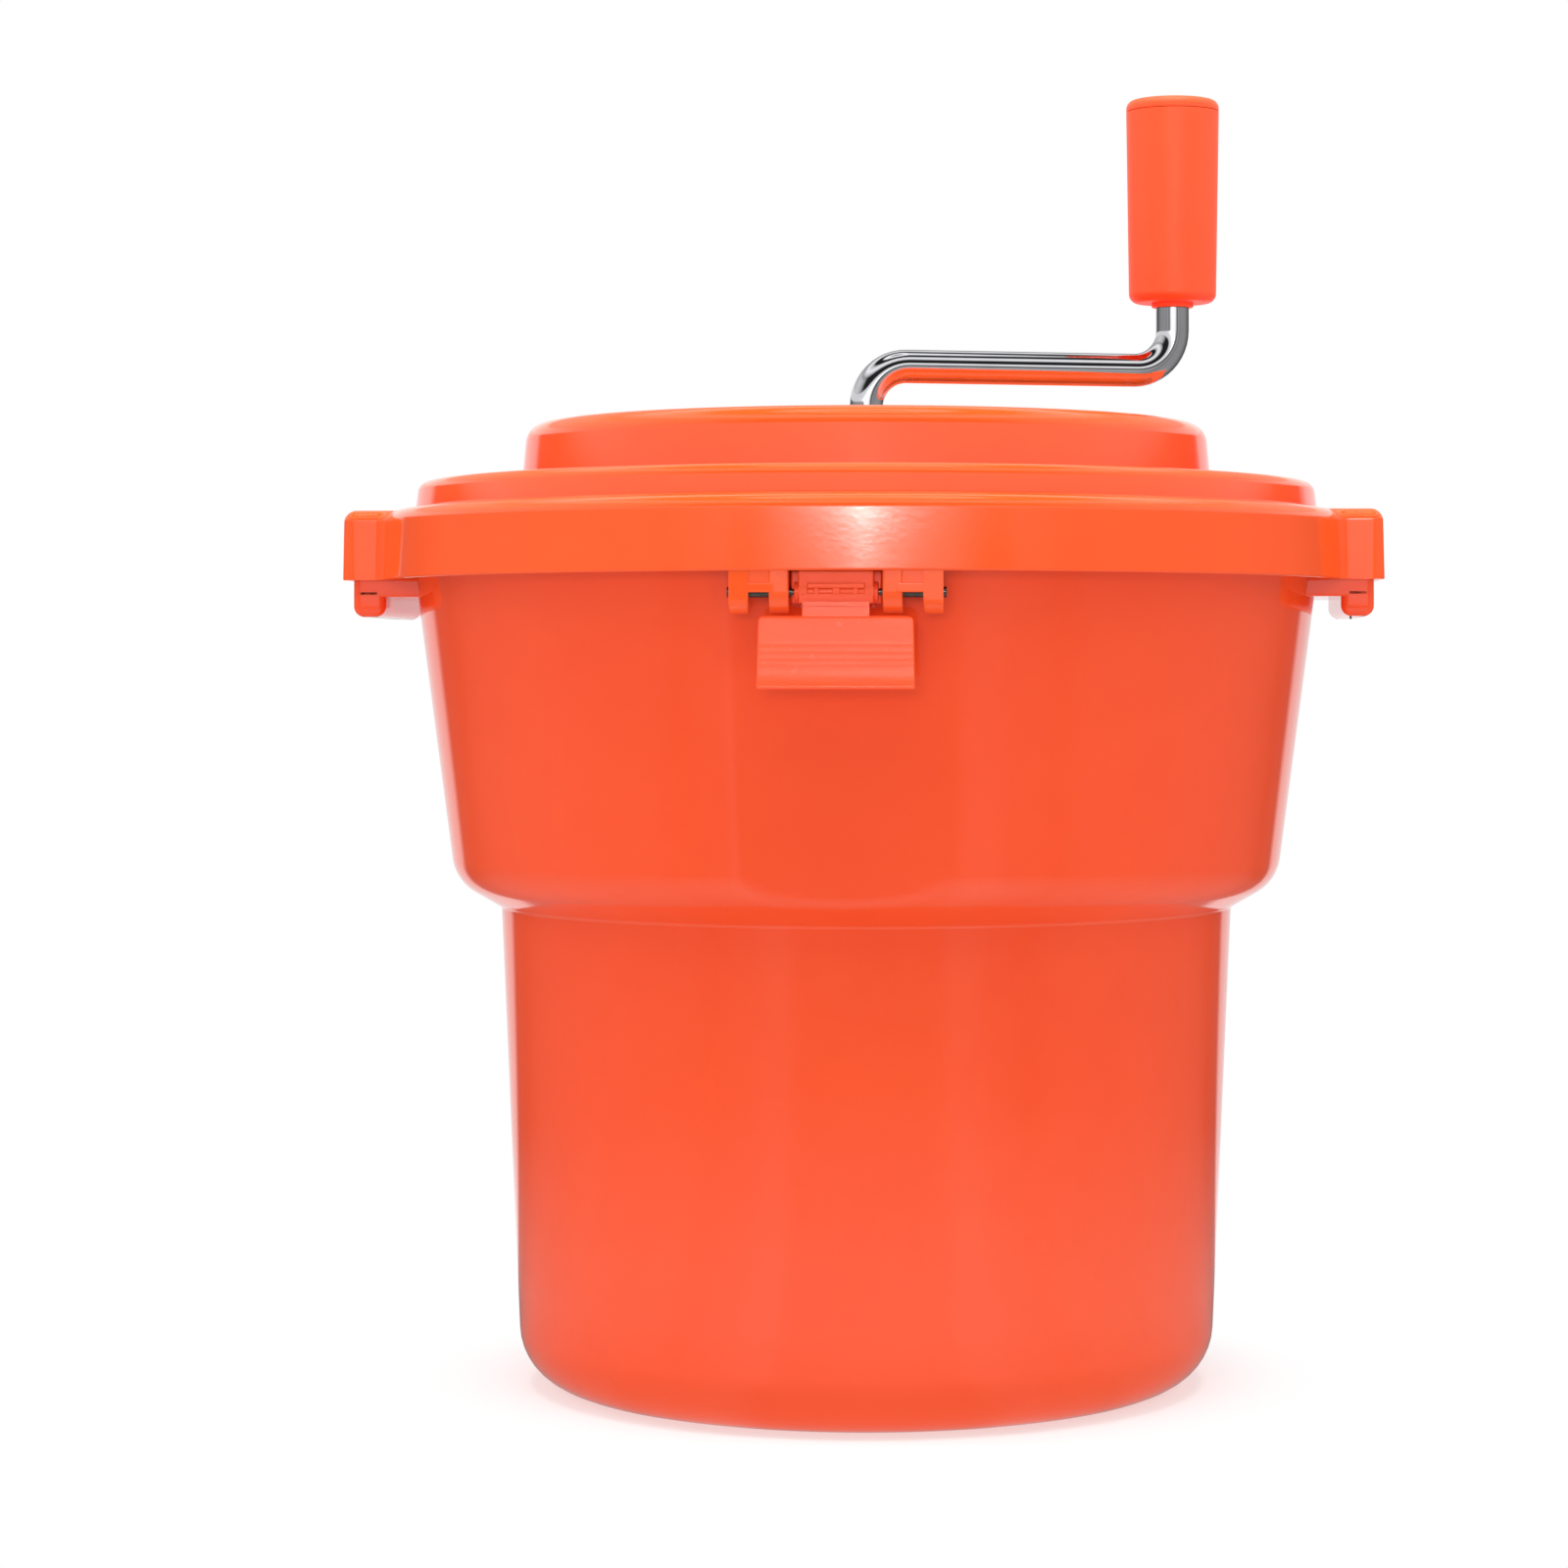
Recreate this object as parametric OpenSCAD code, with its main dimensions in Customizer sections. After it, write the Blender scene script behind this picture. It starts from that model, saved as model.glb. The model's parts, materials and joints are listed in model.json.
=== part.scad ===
// Salad spinner, about 20 litres: a stepped tub, a slotted basket on a pivot, and a lid with a
// bent crank that turns the basket through an epicyclic gear train.
// Millimetres. +Z is up, the origin is the centre of the base, and the front latch faces -Y.

/* [Tub] */
// Outer radius at the base
base_r = 142; // [138:0.5:145]
// Rounding of the tub's bottom edge
base_round = 24; // [16:1:26]
// Outer radius at the top of the lower tier
waist_r = 150.5; // [148:0.5:153]
// Height of the lower tier
waist_z = 196; // [188:0.5:202]
// Outer radius of the upper tier at its mouth
mouth_r = 188.8; // [188:0.1:189.2]
// Height of the tub's rim
rim_z = 354.4; // [350:0.2:358]
// Wall thickness of the tub
tub_wall = 3; // [2:0.5:4]
// How far each latch panel is cut into the wall
panel_cut = 4.5; // [4:0.5:5]

/* [Lid] */
// Outer radius of the lid at the bottom of its skirt
lid_r = 199; // [198:0.5:201]
// Height of the lid's skirt and ledge
skirt_h = 28.4; // [27:0.1:30]
// Height of the middle tier over the ledge
mid_h = 11.9; // [11:0.1:14]
// Height of the top tier over the middle tier
top_h = 24.4; // [24:0.1:26]
// Wall thickness of the lid
lid_wall = 3; // [2.5:0.5:3]

/* [Handles] */
// Reach of each lid ear from the axis
ear_reach = 210.5; // [209:0.5:214]
// Width of each lid ear
ear_w = 100; // [90:1:110]
// Depth of the tub's handle below the lid's skirt
handle_drop = 14.8; // [12:0.1:18]

/* [Crank] */
// Diameter of the bent rod
rod_d = 14; // [12:0.5:14]
// Distance from the lid's axis to the grip's axis
crank_arm = 132.4; // [110:0.2:140]
// Where the arm rests, in degrees from +X towards the rear: a whole number of ring gear teeth
crank_rest = 16; // [0:8:88]
// Height of the arm's centre over the lid
arm_rise = 25.1; // [23:0.1:30]
// Radius of both bends, at the rod's centre
bend_r = 17; // [15:0.5:17]
// Length of the grip, with its cap
grip_len = 85.5; // [75:0.5:95]
// Diameter of the grip at its top
grip_d = 39; // [36:0.2:42]

/* [Gears] */
// Tooth module
gear_m = 4; // [3.5:0.1:4]
// Teeth of the sun and of each planet
small_teeth = 15; // [15]
// Tooth width
gear_w = 10; // [8:0.5:10]

/* [Basket] */
// Radial gap between the basket and the tub
basket_gap = 9.5; // [9:0.5:11]
// Wall thickness of the basket
basket_wall = 2.5; // [2:0.5:3]
// Slots round each row of the lower tier
lower_slots = 30; // [18:2:36]
// Slots round each row of the upper tier
upper_slots = 36; // [18:2:40]

/* [Latches] */
// Width of the latch flap
flap_w = 57; // [50:1:60]
// Height of the latch flap
flap_h = 27; // [22:1:30]
// Radius of the latch pins
latch_pin_r = 2; // [1.5:0.25:2]

/* [Hidden] */
$fn = 96;
cut = 1;            // how far a cutting shape runs past the face that it cuts
run = 0.05;         // radial clearance of a running fit

orange = "#f85a36";
chrome = "#c8ccd0";
steel = "#9aa0a4";
white = "#f2f0ea";
nylon = "#e8e6dc";

// Tub
base_recess = 6;    // height of the floor's underside over the base
floor_z = 9.5;      // top of the tub's floor
foot_r = 104;       // inner radius of the foot ring
shoulder_z = waist_z + 10.9;    // height of the shoulder's corner, before it is rounded
shoulder_r = 169.4;
shoulder_round = 18;
wall_slope = (mouth_r - shoulder_r) / (rim_z - shoulder_z);
flange_r = 194;     // outer radius of the rim's flange
flange_t = 4;
flange_drop = 13;   // height of the flange's turned-down edge
boss_top = 20;      // top of the boss that holds the pivot post
boss_r = 26;
boss_top_r = 15;

// Lid
skirt_z = rim_z + 0.3 + lid_wall - skirt_h;     // bottom of the lid's skirt
ledge_z = skirt_z + skirt_h;
mid_z = ledge_z + mid_h;
top_z = mid_z + top_h;
ledge_r = lid_r - 1.4;
ledge_round = 5.5;
mid_base_r = 185.7;
mid_top_r = 184.3;
mid_round = 4.5;
top_base_r = 142.2;
top_edge_r = 140;
top_round = 8;
recess_r = 117;     // the shallow recess in the lid's top
recess_t = 1;
hub_r = 23;         // the raised hub round the crank's shaft
hub_h = 5;
bush_r = 11;        // outer radius of both shaft bushes
roof_z = top_z - recess_t - lid_wall + 0.2;     // underside of the lid's top
spigot_r = mouth_r - tub_wall - 1.9;    // the ring under the lid that centres it in the tub
spigot_z = rim_z - 10.4;
spigot_gap = 47;    // half the width of the gaps in that ring, over the latch panels

// Handles
ear_wall = 2.8;
ear_round = 6;
ear_blend = 5;
ear_inner_r = ledge_r - ledge_round - 1;    // where the ears' tops run into the ledge
handle_gap = 1.4;   // clearance between the tub's handle and the lid's ear
handle_reach = ear_reach - ear_wall - handle_gap;
handle_w = ear_w - 2 * (ear_wall + handle_gap);
handle_top = rim_z - flange_t;
shelf_z = skirt_z - 6.8;            // underside of the shelf between the tub and the lip
lip_z = skirt_z - handle_drop;
lip_t = 13.2;
lip_round = 4.3;

// Latches, drawn for the front one
pin_y = -188.8;
pin_z = skirt_z - 7.8;
bracket_in = 17.2;  // nearest face of each bracket to the latch's middle
bracket_w = 22.2;
bracket_leg = 7.3;
bracket_nose = 8;   // radius of the bracket's end, round the pin
bracket_back = -184.7;
window_top = pin_z - 0.2;
bracket_top = skirt_z + 3;
catch_y = -184.1;   // front of the tub's catch rib
catch_w = 28;
catch_z = pin_z - 6;
catch_h = 3;
barrel_r = 4.2;     // the latch's barrel, on the pin
barrel_w = 31;
face_w = 28;        // the flat front of the barrel
face_y = -193.4;
face_top = pin_z + 7;
bar_w = 21.5;       // the raised bar on that front, over a row of four slots
bar_h = 1.8;
bar_t = 0.6;
slot_z = pin_z - 0.6;
slot_tall = 2;
slot_depth = 1.6;
slots_x = [[1.4, 6.4], [8.1, 10.5]];    // both ends of each slot, on either side of the middle
hook_w = 5;         // the three hooks that go under the catch rib
hook_pitch = 9;
hook_tip = -184.6;
hook_top = catch_z - 0.5;
neck_w = 24.8;
neck_y = -194.6;
neck_top = pin_z - 3.6;
flap_y = -193.6;    // middle of the flap at its top
flap_t = 2.5;
flap_top = pin_z - 8.7;
flap_tilt = 4;
flap_round = 3;
flap_flare = 0.6;   // how much wider each side of the flap is at its bottom

// Crank
rod_r = rod_d / 2;
arm_z = top_z + arm_rise;
grip_top = arm_z + 114;
grip_bottom = grip_top - grip_len;
grip_low_r = grip_d / 2 - 1.2;
cap_h = 4.8;
seam = 0.2;
spindle_r = 5.5;
spindle_top = grip_top - 18;
clip_t = 1.2;
collar_r = 8.8;
collar_h = 1.9;
grip_bush_r = 8.2;
grip_bush_top = spindle_top - 3.5;
grip_wall = 3;
grip_base_t = 5;
cap_plug_h = 8;
cap_plug_r = grip_d / 2 - grip_wall - 0.3;

// Gears: the ring turns with the crank, and the planets turn on fixed pins
ring_teeth = 3 * small_teeth;
small_pitch_r = gear_m * small_teeth / 2;
ring_pitch_r = gear_m * ring_teeth / 2;
planet_orbit = ring_pitch_r - small_pitch_r;
pressure = 20;
backlash = 0.3;
gear_z = mid_z - lid_wall + 1;      // underside of the sun and planets
ring_rim_r = ring_pitch_r + 10;
ring_web = 4;
web_z = gear_z + gear_w + 1.5;
ring_hub_r = 14;
rod_bottom = web_z + 0.5;
ring_hub_top = roof_z - 1.7;
plate_t = 4;
plate_top = mid_z - lid_wall;
plate_r = top_base_r + 4;
plate_screw_r = 130;
plate_screws = 6;
planet_pin_r = 4;
cross_pin_r = 2;
cross_pin_z = ring_hub_top - 3.8;

// Drive disc and output shaft
disc_z = 343.5;
disc_t = 2.5;
disc_r = 171;
disc_hub_r = 16;
disc_hub_top = plate_top - plate_t - 2.2;
dogs = 6;
dog_reach = 176;
dog_w = 12;
dog_bottom = disc_z - 4.5;
journal_r = 8;
hex_r = 7;

// Basket and pivot
post_r = 6;
post_top = 44;
post_flange_z = 22.5;
hex_bush_r = 15;
bush_top = 43;
basket_floor = 29;
basket_rim = disc_z - 1;
basket_flange_r = 176.5;
basket_low_r = 129.5;
basket_waist_r = waist_r - tub_wall - basket_gap;
basket_shoulder = shoulder_r - tub_wall - basket_gap;
basket_top_r = 171.2;
basket_hub_r = 22;
basket_hub_top = 50;
slot_w = 3.6;
slot_h = 28;
slot_pitch = 34;        // height from one row to the next
lower_row_z = basket_floor + 17;
upper_row_z = 227.5;
floor_slots = [[24, 42], [36, 84]];     // number and inner end of each ring of slots in the floor
floor_slot_len = 30;

// ---------- shared shapes ----------

function unit(v) = v / norm(v);
function polar(r, a) = r * [cos(a), sin(a)];
function xy(p) = [p[0], p[1]];

// The points that round corner p1, between p0 and p2, with radius r
function corner(p0, p1, p2, r, n) = r == 0 ? [p1] :
    let (
        u = unit(p0 - p1),
        v = unit(p2 - p1),
        half = acos(u * v) / 2,
        c = p1 + unit(u + v) * r / sin(half),
        s = p1 + u * r / tan(half) - c,
        e = p1 + v * r / tan(half) - c,
        a0 = atan2(s[1], s[0]),
        sweep = (atan2(e[1], e[0]) - a0 + 540) % 360 - 180
    )
    [for (i = [0:n]) c + polar(r, a0 + sweep * i / n)];

// An outline from points [x, y, corner radius]
function rounded(pts, n = 5) = let (m = len(pts)) [
    for (i = [0:m - 1]) each corner(
        xy(pts[(i + m - 1) % m]), xy(pts[i]), xy(pts[(i + 1) % m]), pts[i][2], n)
];

module turned(pts) rotate_extrude($fn = 128) polygon(rounded(pts));

module tube(r_out, r_in, z0, z1) translate([0, 0, z0]) difference() {
    cylinder(r = r_out, h = z1 - z0);
    translate([0, 0, -cut]) cylinder(r = r_in, h = z1 - z0 + 2 * cut);
}

module rod(r, z0, z1) translate([0, 0, z0]) cylinder(r = r, h = z1 - z0);

module block(x0, x1, y0, y1, z0, z1) translate([x0, y0, z0]) cube([x1 - x0, y1 - y0, z1 - z0]);

// A pan-head screw that points up, with the underside of its head at z
module screw_up(shank_r, length, head_r, head_h, z) {
    rod(shank_r, z, z + length);
    rod(head_r, z - head_h, z);
}

module around(n) for (i = [0:n - 1]) rotate(i * 360 / n) children();

module front_and_rear() around(2) children();

// Plan of an ear or handle that reaches out along +X, with rounded outer corners
module ear_plan(reach, w, r) {
    translate([0, -w / 2]) square([reach - r, w]);
    translate([0, -w / 2 + r]) square([reach, w - 2 * r]);
    for (s = [-1, 1]) translate([reach - r, s * (w / 2 - r)]) circle(r);
}

module ears(reach, w, r, z0, z1) around(2)
    translate([0, 0, z0]) linear_extrude(z1 - z0) ear_plan(reach, w, r);

// The hollow corner blend, in plan, between a round skirt and the side of an ear
module ear_fillet(r, w, f) {
    c = [sqrt(pow(r + f, 2) - pow(w / 2 + f, 2)), w / 2 + f];
    touch = c * r / (r + f);
    difference() {
        polygon([touch * 0.97, touch, c, [c[0], w / 2], [c[0], w / 2 - 3], [touch[0] - 6, w / 2 - 3]]);
        translate(c) circle(f);
    }
}

// ---------- tub ----------

function wall_r(z) = shoulder_r + (z - shoulder_z) * wall_slope;

// The flat that a latch panel leaves: everything in front of the sloping plane
module panel_side(inset) front_and_rear()
    translate([0, -wall_r(shoulder_z) + inset, shoulder_z])
        rotate([atan(wall_slope), 0, 0]) block(-90, 90, -60, 0, -14, 180);

module tub_outside() difference() {
    turned([
        [0, base_recess, 0], [foot_r, base_recess, 2], [foot_r + 2, 0, 1], [base_r, 0, base_round],
        [waist_r, waist_z, 2], [shoulder_r, shoulder_z, shoulder_round],
        [wall_r(rim_z - flange_t), rim_z - flange_t, 1.5], [flange_r - 2.5, rim_z - flange_t, 1],
        [flange_r - 2.5, rim_z - flange_drop, 0.8], [flange_r, rim_z - flange_drop, 0.8],
        [flange_r, rim_z, 2], [0, rim_z, 0]
    ]);
    panel_side(panel_cut);
}

module tub_inside() difference() {
    turned([
        [0, floor_z, 0], [foot_r + 4, floor_z, 3], [foot_r + 11, tub_wall, 3],
        [base_r - tub_wall, tub_wall, base_round - tub_wall], [waist_r - tub_wall, waist_z + 1, 4],
        [shoulder_r - tub_wall, shoulder_z + 1, shoulder_round - tub_wall],
        [mouth_r - tub_wall, rim_z, 0], [mouth_r - tub_wall, rim_z + cut, 0], [0, rim_z + cut, 0]
    ]);
    panel_side(panel_cut + tub_wall);
}

// The bar along each handle's outer edge, from z0 up, with its lower edges rounded
module lip(inset, w, z0, z1, r) around(2) rotate([90, 0, 0]) translate([0, 0, -w / 2]) linear_extrude(w)
    polygon(rounded([
        [handle_reach - lip_t + inset, z1, 0], [handle_reach - lip_t + inset, z0, r],
        [handle_reach - inset, z0, r], [handle_reach - inset, z1, 0]
    ]));

// A channel round a shelf that stands out from the tub, open at the top
module handles() difference() {
    union() {
        ears(handle_reach, handle_w, ear_round - ear_wall, shelf_z, handle_top);
        lip(0, handle_w, lip_z, shelf_z + cut, lip_round);
    }
    ears(handle_reach - tub_wall, handle_w - 2 * tub_wall, 1, shelf_z + tub_wall, handle_top + cut);
    lip(tub_wall, handle_w - 2 * tub_wall, lip_z + tub_wall, shelf_z + tub_wall + cut, lip_round - tub_wall);
}

// The rib that a latch's hooks go under
module catch_rib() block(-catch_w / 2, catch_w / 2, catch_y, catch_y + 8, catch_z, catch_z + catch_h);

module outer_tub() color(orange) difference() {
    union() {
        difference() {
            union() {
                tub_outside();
                handles();
                front_and_rear() catch_rib();
            }
            tub_inside();
        }
        turned([[0, base_recess, 0], [boss_r, base_recess, 0], [boss_r, floor_z, 3],
            [boss_top_r, boss_top, 2], [0, boss_top, 0]]);
    }
    rod(post_r, 0, boss_top + cut);
}

module pivot_post() color(steel) difference() {
    union() {
        rod(post_r, base_recess, post_top - 2);
        rod(11, boss_top, post_flange_z);
        turned([[0, post_top - 3, 0], [post_r, post_top - 3, 0], [post_r, post_top, 1.5], [0, post_top, 0]]);
    }
    rod(2.5, 0, base_recess + 14);
}

module pivot_washer() color(steel) tube(11, 2.5, base_recess - 1.2, base_recess);

module pivot_screw() color(steel) difference() {
    screw_up(2.5, 14, 4.5, 2.6, base_recess - 1.2);
    block(-0.6, 0.6, -4, 4, 0, 3.2);
}

// ---------- basket ----------

module pivot_bush() color(nylon) difference() {
    union() {
        rod(17, post_flange_z + seam, post_flange_z + 2.5);
        translate([0, 0, post_flange_z + 1])
            cylinder(r = hex_bush_r, h = bush_top - post_flange_z - 1, $fn = 6);
    }
    rod(post_r + run, 0, post_top + cut);
}

// A ring of upright slots that go through the basket's wall
module slot_row(n, z, phase) around(n) rotate(phase)
    block(100, 190, -slot_w / 2, slot_w / 2, z, z + slot_h);

module basket_slots() {
    for (k = [0:3]) slot_row(lower_slots, lower_row_z + k * slot_pitch, k % 2 * 180 / lower_slots);
    for (k = [0:2]) slot_row(upper_slots, upper_row_z + k * slot_pitch, k % 2 * 180 / upper_slots);
    for (ring = floor_slots) around(ring[0]) block(ring[1], ring[1] + floor_slot_len, -slot_w / 2, slot_w / 2,
        basket_floor - cut, basket_floor + basket_wall + cut);
}

module basket() color(white) difference() {
    turned([
        [basket_hub_r, basket_floor, 0], [basket_low_r, basket_floor, 9], [basket_waist_r, waist_z - 5, 2],
        [basket_shoulder, shoulder_z + 2, 12], [basket_top_r, basket_rim - 3, 1],
        [basket_flange_r, basket_rim - 3, 0.8], [basket_flange_r, basket_rim, 0.8],
        [basket_top_r - basket_wall, basket_rim, 1],
        [basket_shoulder - basket_wall, shoulder_z + 3, 10], [basket_waist_r - basket_wall, waist_z - 4, 3],
        [basket_low_r - basket_wall, basket_floor + basket_wall, 7],
        [basket_hub_r, basket_floor + basket_wall, 0]
    ]);
    basket_slots();
    around(dogs)
        block(basket_top_r + 0.6, 190, -dog_w / 2 - 1, dog_w / 2 + 1, basket_rim - 4, basket_rim + cut);
}

module basket_hub() color(nylon) difference() {
    union() {
        rod(basket_hub_r, post_flange_z + 2.8, basket_hub_top - 4);
        turned([[0, basket_hub_top - 5, 0], [basket_hub_r, basket_hub_top - 5, 0],
            [basket_hub_r, basket_hub_top, 3], [0, basket_hub_top, 0]]);
        rod(30, basket_floor + basket_wall, basket_floor + basket_wall + 2.5);
    }
    cylinder(r = hex_bush_r + 0.4, h = bush_top + 2, $fn = 6);
}

// ---------- lid ----------

module lid_section() turned([
    [lid_r, skirt_z, 0.8], [ledge_r, ledge_z, ledge_round], [mid_base_r, ledge_z, 1.5],
    [mid_top_r, mid_z, mid_round], [top_base_r, mid_z, 2], [top_edge_r, top_z, top_round],
    [recess_r + 2, top_z, 1], [recess_r, top_z - recess_t, 1], [hub_r, top_z - recess_t, 2],
    [hub_r - 1.5, top_z - recess_t + hub_h, 1.5],
    [bush_r, top_z - recess_t + hub_h, 0], [bush_r, roof_z, 0],
    [top_edge_r - lid_wall, roof_z, top_round - lid_wall],
    [top_base_r - lid_wall, plate_top, 1], [mid_top_r - lid_wall, mid_z - lid_wall, 3],
    [mid_base_r - lid_wall, rim_z + 0.3, 1], [ledge_r - lid_wall, rim_z + 0.3, ledge_round - lid_wall],
    [lid_r - lid_wall, skirt_z, 0.8]
]);

// A hinge bracket under the skirt: two legs with a window between them that shows the pin
module bracket() intersection() {
    translate([bracket_in, 0, 0]) rotate([90, 0, 90]) difference() {
        linear_extrude(bracket_w) difference() {
            union() {
                translate([pin_y, pin_z]) circle(bracket_nose);
                translate([pin_y - bracket_nose, pin_z]) square([2 * bracket_nose, bracket_top - pin_z]);
            }
            translate([bracket_back, 0]) square(400);
            translate([pin_y, pin_z]) circle(latch_pin_r, $fn = 48);
        }
        translate([pin_y - 20, window_top - 20, bracket_leg]) cube([40, 20, bracket_w - 2 * bracket_leg]);
    }
    rod(lid_r - 0.6, 0, 500);
}

// Both ears, solid, with the hollow blends that join them to the skirt
module lid_ears() difference() {
    union() {
        ears(ear_reach, ear_w, ear_round, skirt_z, ledge_z);
        around(2) for (s = [0, 1]) mirror([0, s, 0]) translate([0, 0, skirt_z])
            linear_extrude(skirt_h - ledge_round) ear_fillet(ledge_r, ear_w, ear_blend);
    }
    rod(ear_inner_r, 0, 500);
    rod(lid_r - lid_wall + 0.3, 0, rim_z + 0.3);
}

// The hollow of each ear, which takes the skirt's wall away inside it
module ear_hollows() difference() {
    ears(ear_reach - ear_wall, ear_w - 2 * ear_wall, ear_round - ear_wall, 0, rim_z + 0.3);
    rod(ear_inner_r - 0.5, 0, 500);
}

// The ring that centres the lid in the tub, with gaps over the latch panels
module spigot() difference() {
    tube(spigot_r, spigot_r - 2.5, spigot_z, rim_z + 0.3 + cut);
    block(-spigot_gap, spigot_gap, -mouth_r, mouth_r, spigot_z - cut, rim_z + 2 * cut);
}

module gear_bosses() around(plate_screws) rotate(30) translate([plate_screw_r, 0, 0])
    tube(5, 1.7, plate_top, roof_z + cut);

module lid_shell() color(orange) {
    difference() {
        union() {
            lid_section();
            lid_ears();
        }
        ear_hollows();
    }
    front_and_rear() for (s = [0, 1]) mirror([s, 0, 0]) bracket();
    spigot();
    gear_bosses();
}

module shaft_bush() color(nylon) difference() {
    union() {
        rod(bush_r, roof_z, top_z - recess_t + hub_h + 0.5);
        rod(15, roof_z - 1.5, roof_z);
    }
    rod(rod_r + run, roof_z - 5, top_z + 20);
}

module gear_plate() color(nylon) difference() {
    union() {
        rod(plate_r, plate_top - plate_t, plate_top);
        around(3) rotate(60) block(28, 120, -1.5, 1.5, plate_top - plate_t - 3, plate_top - cut);
    }
    rod(bush_r, 0, 500);
    around(3) translate([planet_orbit, 0, 0]) rod(planet_pin_r, 0, 500);
    around(plate_screws) rotate(30) translate([plate_screw_r, 0, 0]) rod(2.2, 0, 500);
}

module gear_plate_screws() color(steel) around(plate_screws) rotate(30) translate([plate_screw_r, 0, 0])
    difference() {
        screw_up(1.7, 16, 3.8, 2.4, plate_top - plate_t);
        block(-0.5, 0.5, -3, 3, plate_top - plate_t - 3, plate_top - plate_t - 1.4);
        block(-3, 3, -0.5, 0.5, plate_top - plate_t - 3, plate_top - plate_t - 1.4);
    }

module planet_pins() color(steel) around(3) translate([planet_orbit, 0, 0]) {
    rod(planet_pin_r, plate_top - plate_t, gear_z + gear_w + 0.6);
    rod(6.5, plate_top - plate_t - 2, plate_top - plate_t);
}

module output_bush() color(steel) difference() {
    union() {
        rod(bush_r, plate_top - plate_t - 1.5, plate_top);
        rod(15, plate_top, plate_top + 0.8);
    }
    rod(journal_r + run, 0, 500);
}

module latch_pin() color(chrome) translate([-bracket_in - bracket_w - 1, pin_y, pin_z])
    rotate([0, 90, 0]) cylinder(r = latch_pin_r, h = 2 * (bracket_in + bracket_w + 1), $fn = 48);

// ---------- latch ----------

module latch() color(orange) difference() {
    union() {
        translate([-barrel_w / 2, pin_y, pin_z]) rotate([0, 90, 0])
            cylinder(r = barrel_r, h = barrel_w, $fn = 48);
        block(-face_w / 2, face_w / 2, face_y, pin_y, pin_z - barrel_r, face_top);
        block(-bar_w / 2, bar_w / 2, face_y - bar_t, pin_y, slot_z + slot_tall, slot_z + slot_tall + bar_h);
        block(-neck_w / 2, neck_w / 2, neck_y, pin_y - 1.5, flap_top - 2, neck_top);
        for (i = [-1:1]) block(i * hook_pitch - hook_w / 2, i * hook_pitch + hook_w / 2,
            pin_y - 2, hook_tip, flap_top - 0.6, hook_top);
        translate([0, flap_y, flap_top]) rotate([-flap_tilt, 0, 0]) flap();
    }
    for (s = [0, 1], x = slots_x) mirror([s, 0, 0])
        block(x[0], x[1], face_y - cut, face_y + slot_depth, slot_z, slot_z + slot_tall);
    translate([-50, pin_y, pin_z]) rotate([0, 90, 0]) cylinder(r = latch_pin_r + run, h = 100, $fn = 48);
}

module flap() rotate([90, 0, 0]) translate([0, 0, -flap_t / 2]) {
    linear_extrude(flap_t) {
        translate([-flap_w / 2 + flap_round, -flap_round]) square([flap_w - 2 * flap_round, flap_round]);
        for (s = [-1, 1]) translate([s * (flap_w / 2 - flap_round), -flap_round])
            circle(flap_round, $fn = 32);
        polygon([[-flap_w / 2, -flap_round], [flap_w / 2, -flap_round],
            [flap_w / 2 + flap_flare, -flap_h], [-flap_w / 2 - flap_flare, -flap_h]]);
    }
}

// ---------- crank ----------

module cross_pin(reach) translate([0, -reach, cross_pin_z]) rotate([-90, 0, 0])
    cylinder(r = cross_pin_r, h = 2 * reach, $fn = 48);

module crank_rod() color(chrome) {
    difference() {
        rod(rod_r, rod_bottom, arm_z - bend_r);
        cross_pin(20);
    }
    translate([bend_r, 0, arm_z - bend_r]) rotate([90, 0, 0]) rotate([0, 0, 90])
        rotate_extrude(angle = 90) translate([bend_r, 0]) circle(rod_r, $fn = 64);
    translate([bend_r, 0, arm_z]) rotate([0, 90, 0]) cylinder(r = rod_r, h = crank_arm - 2 * bend_r);
    translate([crank_arm - bend_r, 0, arm_z + bend_r]) rotate([90, 0, 0]) rotate([0, 0, -90])
        rotate_extrude(angle = 90) translate([bend_r, 0]) circle(rod_r, $fn = 64);
    translate([crank_arm, 0, 0]) {
        rod(rod_r, arm_z + bend_r, grip_bottom - collar_h - seam);
        rod(spindle_r, grip_bottom - collar_h - cut, spindle_top);
    }
}

module shaft_retainer() color(steel)
    tube(10.5, rod_r, top_z - recess_t + hub_h + 0.8, top_z - recess_t + hub_h + 2.3);

module grip_clip() color(steel) translate([crank_arm, 0, 0])
    tube(9, spindle_r, grip_bush_top + 0.3, grip_bush_top + 0.3 + clip_t);

module crank_cross_pin() color(steel) cross_pin(ring_hub_r - 1);

module grip_sleeve() color(orange) translate([crank_arm, 0, 0]) difference() {
    turned([[0, grip_bottom, 0], [grip_low_r, grip_bottom, 3.5], [grip_d / 2, grip_top - cap_h - seam, 0],
        [0, grip_top - cap_h - seam, 0]]);
    rod(grip_bush_r, grip_bottom - cut, grip_top);
    difference() {
        turned([[0, grip_bottom + grip_base_t, 0], [grip_low_r - grip_wall, grip_bottom + grip_base_t, 2],
            [grip_d / 2 - grip_wall, grip_top, 0], [0, grip_top, 0]]);
        rod(grip_bush_r + grip_wall, grip_bottom, grip_bush_top);
    }
}

module grip_bush() color(orange) translate([crank_arm, 0, 0]) difference() {
    union() {
        turned([[0, grip_bottom - collar_h, 0], [collar_r, grip_bottom - collar_h, 0.6],
            [collar_r, grip_bottom, 0], [0, grip_bottom, 0]]);
        rod(grip_bush_r, grip_bottom - cut, grip_bush_top);
    }
    rod(spindle_r + run, 0, 700);
}

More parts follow.
